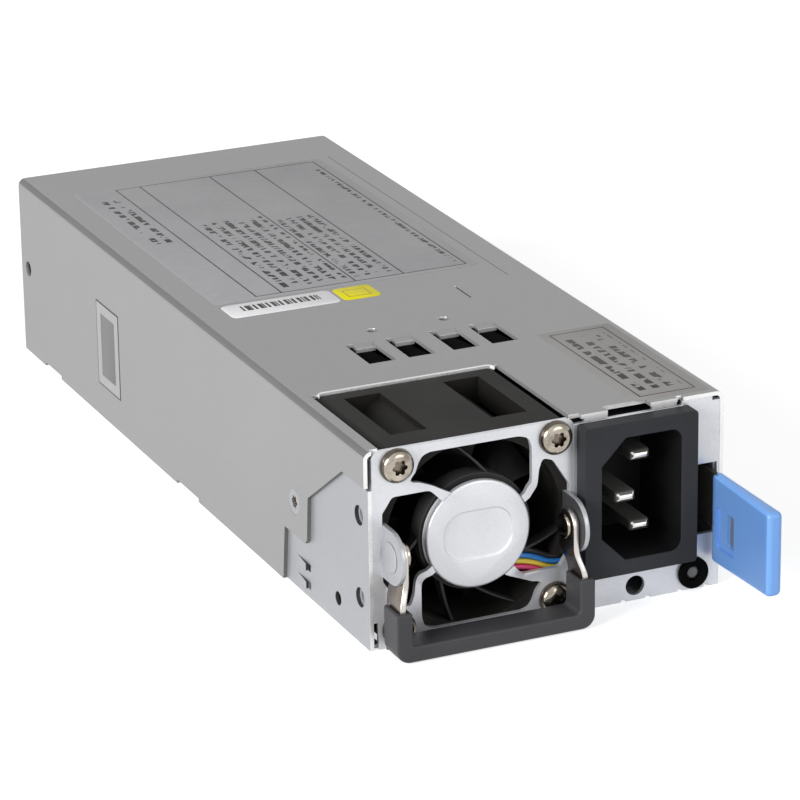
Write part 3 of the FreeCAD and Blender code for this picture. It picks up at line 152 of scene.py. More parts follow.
finishes = {
    # sheet steel
    "cover": surface("cover_zinc_steel", grey(0.300), grey(0.335), 0.3, (0.42, 0.55), 1500),
    "chassis": surface("chassis_zinc_steel", (0.355, 0.365, 0.385), (0.415, 0.425, 0.445), 0.4, (0.36, 0.5),
                       1200),
    "plate": surface("plate_zinc_steel", (0.62, 0.63, 0.66), (0.72, 0.73, 0.76), 0.5, (0.28, 0.44), 1500,
                     smear=90),
    # painted shade: a darker copy of the plate steel for the ears' shaded faces
    "ear": surface("ear_steel_painted_shade", (0.40, 0.41, 0.43), (0.48, 0.49, 0.51), 0.55, (0.3, 0.44), 1500,
                   smear=120),
    # painted shade: a darker copy of the cover steel for the band along the left bend and the cut edges
    # beside the chassis
    "fold_and_cut_shade": surface("cover_steel_painted_shade", grey(0.150), grey(0.190), 0.3, (0.42, 0.55), 1500),
    # painted highlight: near-white steel for the cover's and chassis's cut edges that face the front light
    "edge_highlight": surface("edge_painted_highlight", grey(0.80), grey(0.90), 0.6, (0.22, 0.36), 900, smear=200),
    # painted highlight: flat near-white for the opening's rear lip and the hub oval's wall that faces up
    "lip": surface("lip_painted_highlight", grey(0.88), grey(0.94), 0.0, (0.4, 0.5), 300, smear=60),
    # painted shade: near-black for the side's hole walls, the flange seen through them and the window's seam
    "shade_in_hollows": surface("dark_steel_painted_shade", (0.05, 0.05, 0.052), (0.09, 0.09, 0.092), 0.3, (0.5, 0.6), 1200,
                         gloss=0.1),
    "score": surface("scored_line", grey(0.15), grey(0.20), 0.3, (0.4, 0.55), 1500),
    # painted shade: near black for the right ear's inner face
    "ear_inner_shade": surface("ear_inner_painted_shade", (0.045, 0.045, 0.048), (0.075, 0.075, 0.078), 0.4, (0.4, 0.5),
                        1500),
    "window_rim": surface("window_rim", grey(0.36), grey(0.42), 0.3, (0.35, 0.5), 1200),
    "window_panel": surface("window_panel", grey(0.155), grey(0.190), 0.2, (0.4, 0.55), 1500),
    # screws, spring steel and pins
    "screw": surface("nickel_screw", (0.25, 0.22, 0.18), (0.50, 0.45, 0.38), 1.0, (0.10, 0.24), 500,
                     smear=420, depth=0.00006, strength=0.5),
    # painted shade: dark nickel round the fan screws' heads
    "screw_rim_shade": surface("screw_rim_shade", (0.085, 0.072, 0.058), (0.17, 0.15, 0.125), 1.0, (0.16, 0.3), 700,
                         smear=300),
    # painted shade: dark nickel inside the screws' recesses
    "recess": surface("screw_recess_painted_shade", (0.10, 0.083, 0.065), (0.24, 0.20, 0.16), 1.0, (0.18, 0.3), 900),
    "spring": surface("spring_steel", (0.50, 0.47, 0.44), (0.62, 0.59, 0.56), 1.0, (0.2, 0.36), 900,
                      stretch=(1, 1, 0.15)),
    # painted shade: darker copies of the spring steel for the arms' flat sides, the right arm's near black
    "arm_side_shade": surface("spring_steel_painted_shade", (0.20, 0.17, 0.15), (0.32, 0.28, 0.25), 0.9, (0.25, 0.4), 900,
                        stretch=(1, 1, 0.15)),
    "right_arm_shade": surface("spring_steel_painted_deep_shade", (0.055, 0.046, 0.040), (0.15, 0.12, 0.105), 0.9, (0.25, 0.4),
                        900, smear=90),
    # painted shade: the steel leaf is near black where it is seen in the cap's slot
    "leaf": surface("leaf_in_slot", (0.030, 0.028, 0.024), (0.050, 0.047, 0.040), 0.3, (0.4, 0.55), 900,
                    gloss=0.1),
    "slot_steel": surface("slot_steel", grey(0.20), (0.28, 0.28, 0.27), 0.6, (0.3, 0.45), 900),
    "pin": surface("pin_nickel", (0.56, 0.55, 0.52), (0.68, 0.66, 0.63), 1.0, (0.16, 0.28), 500),
    # painted sheen: dull grey on the pins' sides in place of their nickel reflection
    "pin_side_sheen": surface("pin_side_painted_sheen", (0.085, 0.083, 0.080), (0.125, 0.122, 0.118), 0.25, (0.3, 0.4),
                        500),
    # plastics and paper seen from outside
    "fan": surface("fan_plastic", (0.006, 0.006, 0.007), (0.010, 0.010, 0.011), 0.0, (0.3, 0.42), 1400,
                   gloss=0.22),
    "frame": surface("fan_frame_plastic", (0.014, 0.013, 0.012), (0.020, 0.019, 0.018), 0.0, (0.45, 0.6),
                     1400, gloss=0.07),
    "motor": surface("motor_housing", grey(0.034), grey(0.046), 0.0, (0.45, 0.55), 1400, gloss=0.2),
    "strut": surface("fan_strut_plastic", grey(0.020), grey(0.028), 0.0, (0.4, 0.5), 1400, gloss=0.3),
    "paper": surface("motor_paper", grey(0.90), grey(0.96), 0.0, (0.5, 0.6), 900),
    "inlet": surface("inlet_plastic", (0.030, 0.031, 0.034), (0.044, 0.045, 0.049), 0.0, (0.48, 0.62), 2600,
                     strength=0.5, gloss=0.08),
    # painted shade: near black for the inlet's inside, darker than the bezel's same plastic
    "socket": surface("socket_inside_painted_shade", (0.006, 0.006, 0.007), (0.011, 0.011, 0.012), 0.0, (0.4, 0.55),
                      1800, gloss=0.15),
    "grip": surface("grip_rubber", (0.034, 0.034, 0.038), (0.048, 0.048, 0.053), 0.0, (0.42, 0.55), 2200,
                    strength=0.35, gloss=0.35),
    "nylon": surface("black_nylon", grey(0.006), grey(0.011), 0.0, (0.5, 0.65), 1400, gloss=0.0),
    "cap": surface("blue_cap_plastic", (0.175, 0.385, 0.830), (0.200, 0.420, 0.860), 0.0, (0.34, 0.45), 2200),
    # painted shade: darker blue for the cap's left faces
    "cap_left_shade": surface("blue_cap_painted_shade", (0.120, 0.262, 0.575), (0.137, 0.286, 0.600), 0.0, (0.34, 0.45),
                        2200, gloss=0.3),
    "lens": surface("lamp_lens", grey(0.07), (0.13, 0.13, 0.12), 0.0, (0.12, 0.25), 900, coat=0.6),
    # the fan's leads
    "lead_black": surface("lead_black", grey(0.010), grey(0.02), 0.0, (0.35, 0.45), 900),
    "lead_blue": surface("lead_blue", (0.03, 0.22, 0.70), (0.04, 0.27, 0.78), 0.0, (0.35, 0.45), 900),
    "lead_yellow": surface("lead_yellow", (0.88, 0.62, 0.05), (0.94, 0.70, 0.08), 0.0, (0.35, 0.45), 900),
    "lead_red": surface("lead_red", (0.78, 0.05, 0.20), (0.86, 0.08, 0.25), 0.0, (0.35, 0.45), 900),
    # parts inside the case
    "board": surface("board_lacquer", (0.015, 0.085, 0.035), (0.025, 0.12, 0.05), 0.0, (0.3, 0.4), 700),
    "gold": surface("finger_gold", (0.78, 0.55, 0.20), (0.86, 0.64, 0.28), 1.0, (0.2, 0.3), 600),
    "brass": surface("bearing_brass", (0.62, 0.45, 0.20), (0.72, 0.54, 0.28), 1.0, (0.25, 0.4), 600),
    "white": surface("white_nylon", (0.74, 0.73, 0.68), (0.80, 0.79, 0.74), 0.0, (0.4, 0.5), 900),
    "copper": surface("copper_wire", (0.58, 0.25, 0.12), (0.70, 0.33, 0.17), 0.9, (0.25, 0.4), 900),
    "ferrite": surface("ferrite", grey(0.035), grey(0.055), 0.0, (0.5, 0.7), 600),
    "sleeve": surface("can_sleeve", (0.012, 0.013, 0.020), (0.022, 0.024, 0.034), 0.0, (0.2, 0.32), 500),
    "sink": surface("sink_aluminium", (0.58, 0.58, 0.60), (0.68, 0.68, 0.70), 0.9, (0.3, 0.45), 800,
                    stretch=(1, 0.1, 1)),
    "tape": surface("winding_tape", (0.62, 0.45, 0.06), (0.70, 0.52, 0.09), 0.0, (0.25, 0.4), 500),
    "yellow_box": surface("film_box", (0.66, 0.47, 0.05), (0.72, 0.52, 0.08), 0.0, (0.25, 0.35), 600),
    "disc": surface("disc_glaze", (0.03, 0.12, 0.38), (0.05, 0.16, 0.44), 0.0, (0.2, 0.3), 600),
    "film": surface("insulating_film", (0.55, 0.54, 0.48), (0.62, 0.61, 0.55), 0.0, (0.3, 0.4), 600),
}


# ---- label faces, with every place in millimetres ------------------------------------
label_gloss = 0.08
label_rough = (0.35, 0.5)
bar_pitches = (0.93, 1.37)      # two rulings that overlap make the bars uneven
bar_share, dash_share = 0.38, 0.5
grey_ink = grey(0.045)


def patch(tree, position, x0, x1, y0, y1):
    """1 inside a rectangle, else 0."""
    inside = [calculated(tree, "COMPARE", position.outputs[axis], (low + high) / 2 * MM,
                         (high - low) / 2 * MM) for axis, low, high in ((0, x0, x1), (1, y0, y1))]
    return combined(tree, "MULTIPLY", *inside)


def ruling(tree, position, pitch, share):
    """1 on lines along Y that take up a share of their pitch, else 0."""
    ruled = calculated(tree, "PINGPONG", position.outputs[0], pitch / 2 * MM)
    return calculated(tree, "LESS_THAN", ruled, pitch / 2 * share * MM)


def dashes(tree, position, pitch, length):
    """Rows of broken dashes along Y that stand for small print."""
    broken = noise(tree, 1000, 1.0, (0.9 / pitch, 1 / length, 0.12))
    return combined(tree, "MULTIPLY", ruling(tree, position, pitch, dash_share),
                    calculated(tree, "GREATER_THAN", broken, 0.5))


def frame_lines(low, high, width):
    """Four thin printed lines round a rectangle."""
    (x0, y0), (x1, y1) = low, high
    return [(x0, x1, y0, y0 + width), (x0, x1, y1 - width, y1),
            (x0, x0 + width, y0, y1), (x1 - width, x1, y0, y1)]


def printed(name, paper, ink, lines=(), print_areas=(), bars=()):
    """A label's face: paper with thin printed lines, rows of dashes or uneven bars.

    Lines and bars are given as (x0, x1, y0, y1), and print areas also have their rows' pitch
    and the length of a dash.
    """
    made, tree, shader = new_material(name)
    shader.inputs["Specular IOR Level"].default_value = label_gloss
    coords = tree.nodes.new("ShaderNodeTexCoord")
    position = tree.nodes.new("ShaderNodeSeparateXYZ")
    tree.links.new(coords.outputs["Object"], position.inputs[0])
    masks = [patch(tree, position, *line) for line in lines]
    for *area, pitch, length in print_areas:
        small_print = dashes(tree, position, pitch, length)
        masks.append(combined(tree, "MULTIPLY", patch(tree, position, *area), small_print))
    for area in bars:
        for pitch in bar_pitches:
            bar = ruling(tree, position, pitch, bar_share)
            masks.append(combined(tree, "MULTIPLY", patch(tree, position, *area), bar))
    inked = masks[0]
    for mask in masks[1:]:
        inked = combined(tree, "MAXIMUM", inked, mask)
    uneven = between(tree, noise(tree, 500, 2.0), 0, 1)
    darker = [0.94 * channel for channel in paper]
    mix = new_mix(tree, inked)
    tree.links.new(blend_colours(tree, uneven, paper, darker), mix.inputs[6])
    mix.inputs[7].default_value = (*ink, 1)
    tree.links.new(mix.outputs[2], shader.inputs["Base Color"])
    tree.links.new(between(tree, noise(tree, 60), *label_rough), shader.inputs["Roughness"])
    bump(tree, shader, noise(tree, 900), 0.15, 0.00001)
    return made


finishes["rating_label"] = printed(
    "rating_label", (0.425, 0.425, 0.437), grey_ink,
    frame_lines((-20.9, -4.2), (25.6, 75.0), 0.32) + [(x, x + 0.32, -4.2, 75.0) for x in (-15.4, 0.8, 11.4)],
    print_areas=[(-14.2, 0.2, -1.5, 44, 2.6, 1.1), (1.6, 11.0, -1.5, 40, 2.4, 0.9),
                 (22.6, 25.0, -2, 70, 2.0, 0.9), (-27.5, -22.5, 36, 68, 2.6, 1.4)])
finishes["code_label"] = printed("code_label", (0.98, 0.97, 0.99), grey(0.03),
                                 bars=[(-26.2, -9.6, -11.2, -8.3)])
finishes["date_label"] = printed("date_label", (0.94, 0.84, 0.00), (0.25, 0.22, 0.02),
                                 frame_lines((-4.2, -12.6), (0.7, -8.5), 0.18))
finishes["seal_label"] = printed("seal_label", (0.365, 0.350, 0.340), (0.05, 0.045, 0.045),
                                 frame_lines((20.9, -89.0), (32.7, -51.0), 0.32),
                                 print_areas=[(22.4, 31.4, -86.0, -54.0, 2.9, 1.5)])

node_finish = {
    "chassis": "chassis", "front_plate": "plate", "fan_guard": "plate", "guard_hub": "plate",
    "handle_ears": "ear", "fan_blades": "fan", "fan_motor_base": "frame", "top_cover": "cover",
    "cover_screw": "screw", "slot_clips": "nylon", "fan_frame": "frame", "fan_bearing": "brass",
    "fan_rotor": "fan", "fan_shaft": "pin", "fan_screws": "screw", "fan_leads": "tape",
    "fan_lead_plug": "white", "fan_lead_socket": "white", "inlet_housing": "inlet", "inlet_pins": "pin",
    "latch_leaf": "leaf", "latch_foot": "spring", "latch_rivets": "screw", "latch_cap": "cap",
    "handle_bail": "spring", "handle_grip": "grip", "handle_rivets": "screw", "lamp_holder": "nylon",
    "lamp_lens": "lens", "main_board": "board", "card_fingers": "gold", "board_standoffs": "sink",
    "board_screws": "screw", "insulating_film": "film", "bulk_capacitors": "sleeve",
    "output_capacitors": "sleeve", "pfc_choke_core": "ferrite", "pfc_choke_winding": "copper",
    "transformer_core": "ferrite", "transformer_winding": "tape", "line_choke": "ferrite",
    "film_capacitors": "yellow_box", "disc_capacitors": "disc", "inrush_relay": "nylon",
    "line_fuse": "white", "primary_heat_sink": "sink", "secondary_heat_sink": "sink",
    "primary_transistor": "nylon", "rectifiers": "nylon", "control_board": "board", "output_bus": "copper",
}

for node, finish in node_finish.items():
    for slot in nodes[node].material_slots:
        slot.material = finishes[finish]


# ---- modelling helpers ---------------------------------------------------------------
same = 1e-6     # points closer than this lie in one place
near = 1e-5     # reach when points are picked by their place
turn_to = {"x": (0, math.pi / 2, 0), "y": (math.pi / 2, 0, 0), "z": (0, 0, 0)}


def deselect():
    bpy.ops.object.select_all(action="DESELECT")


def take(piece):
    """Makes one piece the only selected and active object."""
    deselect()
    piece.select_set(True)
    bpy.context.view_layer.objects.active = piece


def enter_edit(piece):
    take(piece)
    bpy.ops.object.mode_set(mode="EDIT")


def leave_edit():
    bpy.ops.object.mode_set(mode="OBJECT")


def add_object(name, data):
    made = bpy.data.objects.new(name, data)
    bpy.context.scene.collection.objects.link(made)
    return made


def settle(piece, name):
    """Names a new primitive and puts its place and size into its mesh."""
    piece.name = name
    piece.data.name = name
    take(piece)
    bpy.ops.object.transform_apply(location=True, rotation=True, scale=True)
    return piece


def midpoint(low, high):
    return [(a + b) / 2 for a, b in zip(low, high)]


def new_block(name, low, high):
    deselect()
    bpy.ops.mesh.primitive_cube_add(size=1, location=midpoint(low, high))
    piece = bpy.context.object
    piece.scale = [b - a for a, b in zip(low, high)]
    return settle(piece, name)


def new_disc(name, centre, radius, thickness, axis, sides=64):
    """A round blank whose middle is at the given place."""
    deselect()
    bpy.ops.mesh.primitive_cylinder_add(vertices=sides, radius=radius, depth=thickness,
                                        location=centre, rotation=turn_to[axis])
    return settle(bpy.context.object, name)


def pick(piece, kind, wanted):
    """Enters edit mode with only the wanted faces, edges or points selected."""
    enter_edit(piece)
    bpy.ops.mesh.select_mode(type=kind)
    mesh = bmesh.from_edit_mesh(piece.data)
    for part in {"FACE": mesh.faces, "EDGE": mesh.edges, "VERT": mesh.verts}[kind]:
        part.select_set(bool(wanted(part)))
    mesh.select_flush_mode()
    bmesh.update_edit_mesh(piece.data)


def pick_faces(piece, wanted):
    """Selects the faces for which wanted(centre, normal) is true."""
    pick(piece, "FACE", lambda face: wanted(face.calc_center_median(), face.normal))


def push(move):
    bpy.ops.mesh.extrude_region_move(TRANSFORM_OT_translate={"value": move})


def bevel(piece, wanted, width, segments, clamp=False):
    """Rounds the edges for which wanted(start, end) is true."""
    pick(piece, "EDGE", lambda edge: wanted(edge.verts[0].co, edge.verts[1].co))
    bpy.ops.mesh.bevel(offset=width, segments=segments, affect="EDGES", clamp_overlap=clamp)
    leave_edit()


def along(axis):
    """Picks the edges of a block that run along one axis."""
    return lambda a, b: abs(a[axis] - b[axis]) > near


def shift(piece, wanted, move):
    """Moves the points for which wanted(place) is true."""
    pick(piece, "VERT", lambda point: wanted(point.co))
    bpy.ops.transform.translate(value=move)
    leave_edit()


def squeeze(piece, wanted, shares, centre):
    """Scales the points for which wanted(place) is true."""
    pick(piece, "VERT", lambda point: wanted(point.co))
    bpy.ops.transform.resize(value=shares, center_override=centre)
    leave_edit()


def slice_through(piece, planes, **clearing):
    """Cuts the mesh along each plane, given as a place and a normal."""
    enter_edit(piece)
    for place, normal in planes:
        bpy.ops.mesh.select_all(action="SELECT")
        bpy.ops.mesh.bisect(plane_co=place, plane_no=normal, **clearing)
    leave_edit()


def apply_modifier(piece, kind, **settings):
    take(piece)
    modifier = piece.modifiers.new(kind.lower(), kind)
    for key, value in settings.items():
        setattr(modifier, key, value)
    bpy.ops.object.modifier_apply(modifier=modifier.name)


def cut_out(piece, cutter):
    """Takes a cutter's volume out of a piece."""
    apply_modifier(piece, "BOOLEAN", operation="DIFFERENCE", object=cutter)
    bpy.data.objects.remove(cutter)


def smooth(piece, angle):
    take(piece)
    bpy.ops.object.shade_smooth_by_angle(angle=math.radians(angle))


def soften(piece, width, segments=3, angle=30):
    """Rounds the sharp edges with an applied bevel and smooths the faces between them."""
    apply_modifier(piece, "BEVEL", width=width, segments=segments, limit_method="ANGLE",
                   angle_limit=math.radians(angle), use_clamp_overlap=True, harden_normals=False)
    smooth(piece, 40)


def flatten(piece):
    """Lets the wide faces set the shading, so that only the rounded edges look curved."""
    apply_modifier(piece, "WEIGHTED_NORMAL", keep_sharp=True)


def dress(piece, body, finish, stands_for=()):
    piece.data.materials.clear()
    piece.data.materials.append(finishes[finish])
    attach(piece, body)
    if stands_for:
        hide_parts(*stands_for)
    return piece


def stand_in(piece, node, finish):
    """Shows a piece in place of a CAD node."""
    return dress(piece, body_of[node], finish, (node,))


def add_to(piece, node, finish):
    """Shows a piece as an extra on a CAD node."""
    return dress(piece, body_of[node], finish)


def repaint(piece, finish, wanted):
    """Gives the faces for which wanted(centre, normal) is true a second finish."""
    piece.data.materials.append(finishes[finish])
    index = len(piece.data.materials) - 1
    for face in piece.data.polygons:
        if wanted(face.center, face.normal):
            face.material_index = index


def worked_copy(node, width, segments=3):
    """A copy of a CAD node with its triangles merged into flat faces again and its edges eased."""
    piece = add_object(node + "_eased", nodes[node].data.copy())
    take(piece)
    bpy.ops.mesh.customdata_custom_splitnormals_clear()
    enter_edit(piece)
    bpy.ops.mesh.select_all(action="SELECT")
    bpy.ops.mesh.remove_doubles(threshold=0.000002)
    bpy.ops.mesh.dissolve_limited(angle_limit=math.radians(0.6))
    leave_edit()
    if width:
        soften(piece, width, segments)
    else:
        smooth(piece, 30)
    return piece


# ---- places that several pieces share ------------------------------------------------
case_low, case_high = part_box("top_cover")
cover_left, cover_top = case_low[0], case_high[2]
case_front = case_low[1]
plate_face, plate_behind = (corner[1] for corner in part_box("front_plate"))
ear_low, ear_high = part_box("handle_ears")
fan_low, fan_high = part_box("fan_frame")
hub_low, hub_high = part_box("guard_hub")
hub_radius = (hub_high[0] - hub_low[0]) / 2
hub_stand = 0.8 * MM        # how far the hub stands proud of the front plate
fan_middle = Vector(((fan_low[0] + fan_high[0]) / 2, 0, (fan_low[2] + fan_high[2]) / 2))


def from_fan(point):
    return math.hypot(point[0] - fan_middle.x, point[2] - fan_middle.z)


# ---- sheet metal and moulded parts, with their edges eased ---------------------------
edge_width = {      # millimetres
    "top_cover": 0.12, "chassis": 0.12, "front_plate": 0.12, "handle_ears": 0.18,
    "inlet_housing": 0.22, "inlet_pins": 0.25, "latch_leaf": 0.1,
    "handle_grip": 0.9, "lamp_holder": 0.2, "slot_clips": 0.15,
    "fan_frame": 0.2, "fan_rotor": 0.4, "fan_blades": 0.15, "latch_foot": 0.1,
    "latch_rivets": 0.12, "main_board": 0.08, "card_fingers": 0.0,
}
eased = {}
for node, width in edge_width.items():
    eased[node] = stand_in(worked_copy(node, width * MM, 3 if width > 0.3 else 2), node, node_finish[node])
    flatten(eased[node])


def on_left(centre, depth):
    """Whether a face lies on the case's left side or within a depth of it, in millimetres."""
    return centre.x < cover_left + depth * MM


def cover_front_edge(centre, normal):
    return normal.y < -0.5 and (centre.y < case_front + 2 * MM or centre.z > cover_top - 1.2 * MM)


def cover_left_bend(centre, normal):
    return on_left(centre, 1.6) and 0.35 < normal.z < 0.97 and normal.x < -0.2


def cover_side_cuts(centre, normal):
    return (on_left(centre, 2) and abs(normal.x) < 0.3 and abs(normal.z) < 0.99
            and case_front + 1 * MM < centre.y < -40 * MM and centre.z < 31 * MM)


def chassis_front_edge(centre, normal):
    return normal.y < -0.5 and centre.y < case_front + 2 * MM and centre.z > 6 * MM


def chassis_hole_walls(centre, normal):
    return (on_left(centre, 3) and centre.z > 2.5 * MM and abs(normal.x) < 0.5
            and -89.5 * MM < centre.y < -50 * MM)


def plate_left_flange(centre, normal):
    return on_left(centre, 4) and centre.y > case_front + 1.5 * MM


def right_ear_inside(centre, normal):
    return normal.x < -0.9 and centre.x > -10 * MM


socket_low, socket_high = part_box("inlet_housing")
socket_middle = midpoint(socket_low, socket_high)


def socket_inside(centre, normal):
    return (centre.y > socket_low[1] + 0.4 * MM and abs(centre.x - socket_middle[0]) < 8.5 * MM
            and abs(centre.z - socket_middle[2]) < 12.4 * MM)


# painted light: highlights on the front edges, shade on the cover's left bend and side cuts, the holes, the
# flange behind them, the right ear's inside and the socket's inside, and sheen on the pins' sides
for node, finish, wanted in (
        ("top_cover", "edge_highlight", cover_front_edge), ("top_cover", "fold_and_cut_shade", cover_left_bend),
        ("chassis", "edge_highlight", chassis_front_edge), ("chassis", "shade_in_hollows", chassis_hole_walls),
        ("top_cover", "fold_and_cut_shade", cover_side_cuts), ("front_plate", "shade_in_hollows", plate_left_flange),
        ("handle_ears", "ear_inner_shade", right_ear_inside), ("inlet_housing", "socket", socket_inside),
        ("inlet_pins", "pin_side_sheen", lambda centre, normal: normal.y > -0.75)):
    repaint(eased[node], finish, wanted)


# ---- fan guard with its spokes ramped up to the hub ----------------------------------
spoke_turns = (44, 136, 224, 316)       # degrees round the fan


def is_corner(edge, in_reach, least_width):
    """Whether an edge runs through the sheet at a corner between two faces that are wide enough."""
    start, end = (point.co for point in edge.verts)
    through = math.hypot(start.x - end.x, start.z - end.z) < same and len(edge.link_faces) == 2
    if not (through and in_reach(start) and edge.calc_face_angle() > math.radians(7)):
        return False
    return min(face.calc_area() for face in edge.link_faces) / edge.calc_length() > least_width


def round_openings(piece, in_reach):
    """Rounds the faceted corners of the openings cut through a sheet that faces -Y."""
    for least_width, radius, segments in ((1.5 * MM, 0.7 * MM, 4), (0.45 * MM, 0.2 * MM, 2)):
        pick(piece, "EDGE", lambda edge: is_corner(edge, in_reach, least_width))
        bpy.ops.mesh.bevel(offset=radius, segments=segments, affect="EDGES", clamp_overlap=True)
        leave_edit()


def make_guard():
    """Bends the four spokes forward so that they meet the raised hub."""
    guard = worked_copy("fan_guard", 0)
    round_openings(guard, lambda co: hub_radius * 1.08 < from_fan(co) < hub_radius * 2.1)
    bends = []
    for turn in spoke_turns:
        ahead = Vector((math.cos(math.radians(turn)), 0, math.sin(math.radians(turn))))
        bends += [(fan_middle + ahead * hub_radius * reach, ahead) for reach in (1.07, 1.34)]
    slice_through(guard, bends)
    shift(guard, lambda co: from_fan(co) < hub_radius * 1.20, (0, -hub_stand, 0))
    soften(guard, 0.12 * MM, 2, 32)
    stand_in(guard, "fan_guard", "plate")


def make_hub():
    """Disc with a rolled rim and an oval pressed into its face."""
    face = plate_face - hub_stand
    half_width, half_height, corner = 6.9 * MM, 4.7 * MM, 4.0 * MM
    hub = new_disc("guard_hub_disc", (fan_middle.x, (face + plate_behind - hub_stand) / 2, fan_middle.z),
                   hub_radius, 1.0 * MM, "y", 128)
    bevel(hub, lambda a, b: abs(a.y - b.y) < same and abs(a.y - face) < near, 0.45 * MM, 5)
    oval = new_block("oval", (fan_middle.x - half_width, face - 2 * MM, fan_middle.z - half_height),
                     (fan_middle.x + half_width, face + 0.4 * MM, fan_middle.z + half_height))
    bevel(oval, along(1), corner, 10)
    cut_out(hub, oval)

    def on_oval(point):
        return face - near < point.y < face + 0.5 * MM and from_fan(point) < 0.8 * hub_radius

    bevel(hub, lambda a, b: on_oval(a) and on_oval(b) and abs(a.y - b.y) < same, 0.19 * MM, 4, clamp=True)
    smooth(hub, 35)
    stand_in(hub, "guard_hub", "plate")
    # the oval's wall that faces up is painted near-white as a highlight
    repaint(hub, "lip", lambda centre, normal: normal.z > 0.25 and centre.y > face + 0.02 * MM
            and abs(centre.x - fan_middle.x) < half_width
            and abs(centre.z - fan_middle.z) < half_height + 0.1 * MM)


make_guard()
make_hub()


# ---- screws and rivets ---------------------------------------------------------------
dome_share = 0.86       # of a domed head's height that its rounding takes up
recess_taper = 0.86     # the recess's floor as a share of its mouth
lobe_cuts = ((-1.1, -0.9, 0.72), (-0.8, -0.6, 0.78), (-0.1, 0.1, 0.9))   # range of cos(6 turn), reach


def screw_head(name, radius, height, recess_radius, recess_depth, domed):
    """A head facing -Y at the origin with a six-lobed recess."""
    def on_top(point):
        return point.y < -0.99 * height

    def off_axis(point):
        return math.hypot(point.x, point.z)

    head = new_disc(name, (0, -height / 2, 0), radius, height, "y", 48)
    dome = dome_share * height if domed else 0
    if domed:
        bevel(head, lambda a, b: max(a.y, b.y) < -0.9 * height, dome, 7)
    pick_faces(head, lambda centre, normal: normal.y < -0.99 and off_axis(centre) < 0.1 * radius)
    bpy.ops.mesh.inset(thickness=radius - dome - recess_radius)
    leave_edit()
    for low, high, share in lobe_cuts:
        squeeze(head, lambda co: on_top(co) and off_axis(co) < recess_radius * 1.02
                and low < math.cos(6 * math.atan2(co.z, co.x)) < high, (share, 1, share), (0, 0, 0))
    pick_faces(head, lambda centre, normal: normal.y < -0.99 and on_top(centre)
               and off_axis(centre) < 0.3 * recess_radius)
    push((0, recess_depth, 0))
    bpy.ops.transform.resize(value=(recess_taper, 1, recess_taper), center_override=(0, 0, 0))
    leave_edit()
    bevel(head, lambda a, b: on_top(a) and on_top(b) and max(off_axis(a), off_axis(b)) < 1.01 * recess_radius,
          0.05 * radius, 2)
    smooth(head, 32)
    return head


def make_fan_screws():
    low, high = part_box("fan_screws")
    radius, recess_radius = 3.3 * MM, 1.45 * MM
    head = screw_head("fan_screw", radius, plate_face - low[1], recess_radius, 1.1 * MM, True)
    spread = (high[0] - low[0]) / 2 - radius
    for k, (across, up) in enumerate(((-1, -1), (1, -1), (-1, 1), (1, 1))):
        middle = Vector((fan_middle.x + across * spread, plate_face, fan_middle.z + up * spread))
        screw = add_object("fan_screw_%d" % k, head.data.copy())
        screw.data.transform(Matrix.Translation(middle))
        stand_in(screw, "fan_screws", "screw")
        # painted shade inside the recess
        repaint(screw, "recess", lambda centre, normal: centre.y > low[1] + 0.15 * MM
                and math.hypot(centre.x - middle.x, centre.z - middle.z) < recess_radius + 0.05 * MM)
        # painted shade round the head's rim
        repaint(screw, "screw_rim_shade", lambda centre, normal: normal.y > -0.62)
    bpy.data.objects.remove(head)


def make_cover_screw():
    low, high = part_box("cover_screw")
    height, recess_radius = 0.7 * MM, 1.35 * MM
    middle = Vector((low[0] + height, (low[1] + high[1]) / 2, (low[2] + high[2]) / 2))
    screw = screw_head("cover_screw_head", (high[1] - low[1]) / 2, height, recess_radius, 0.5 * MM, False)
    screw.data.transform(Matrix.Rotation(math.radians(-90), 4, "Z"))
    screw.data.transform(Matrix.Translation(middle))
    soften(screw, 0.12 * MM, 2, 50)
    stand_in(screw, "cover_screw", "chassis")
    # painted shade inside the recess
    repaint(screw, "recess", lambda centre, normal: centre.x > low[0] + 0.1 * MM
            and math.hypot(centre.y - middle.y, centre.z - middle.z) < recess_radius + 0.05 * MM)


def make_pivot_rivets():
    """Left rivet pressed nearly flush with its ear, right one with its formed head inside."""
    rivets = worked_copy("handle_rivets", 0.18 * MM)
    for outer, side in ((ear_low[0], -1), (ear_high[0], 1)):
        squeeze(rivets, lambda co: (co.x - outer) * side > near, (0.4, 1, 1), (outer, 0, 0))
    stand_in(rivets, "handle_rivets", "screw")
    # the rivet ends outside the ears take the ears' darker steel, painted shade
    repaint(rivets, "ear", lambda centre, normal:
            not ear_low[0] + 0.2 * MM < centre.x < ear_high[0] - 0.2 * MM)


make_fan_screws()
make_cover_screw()
make_pivot_rivets()


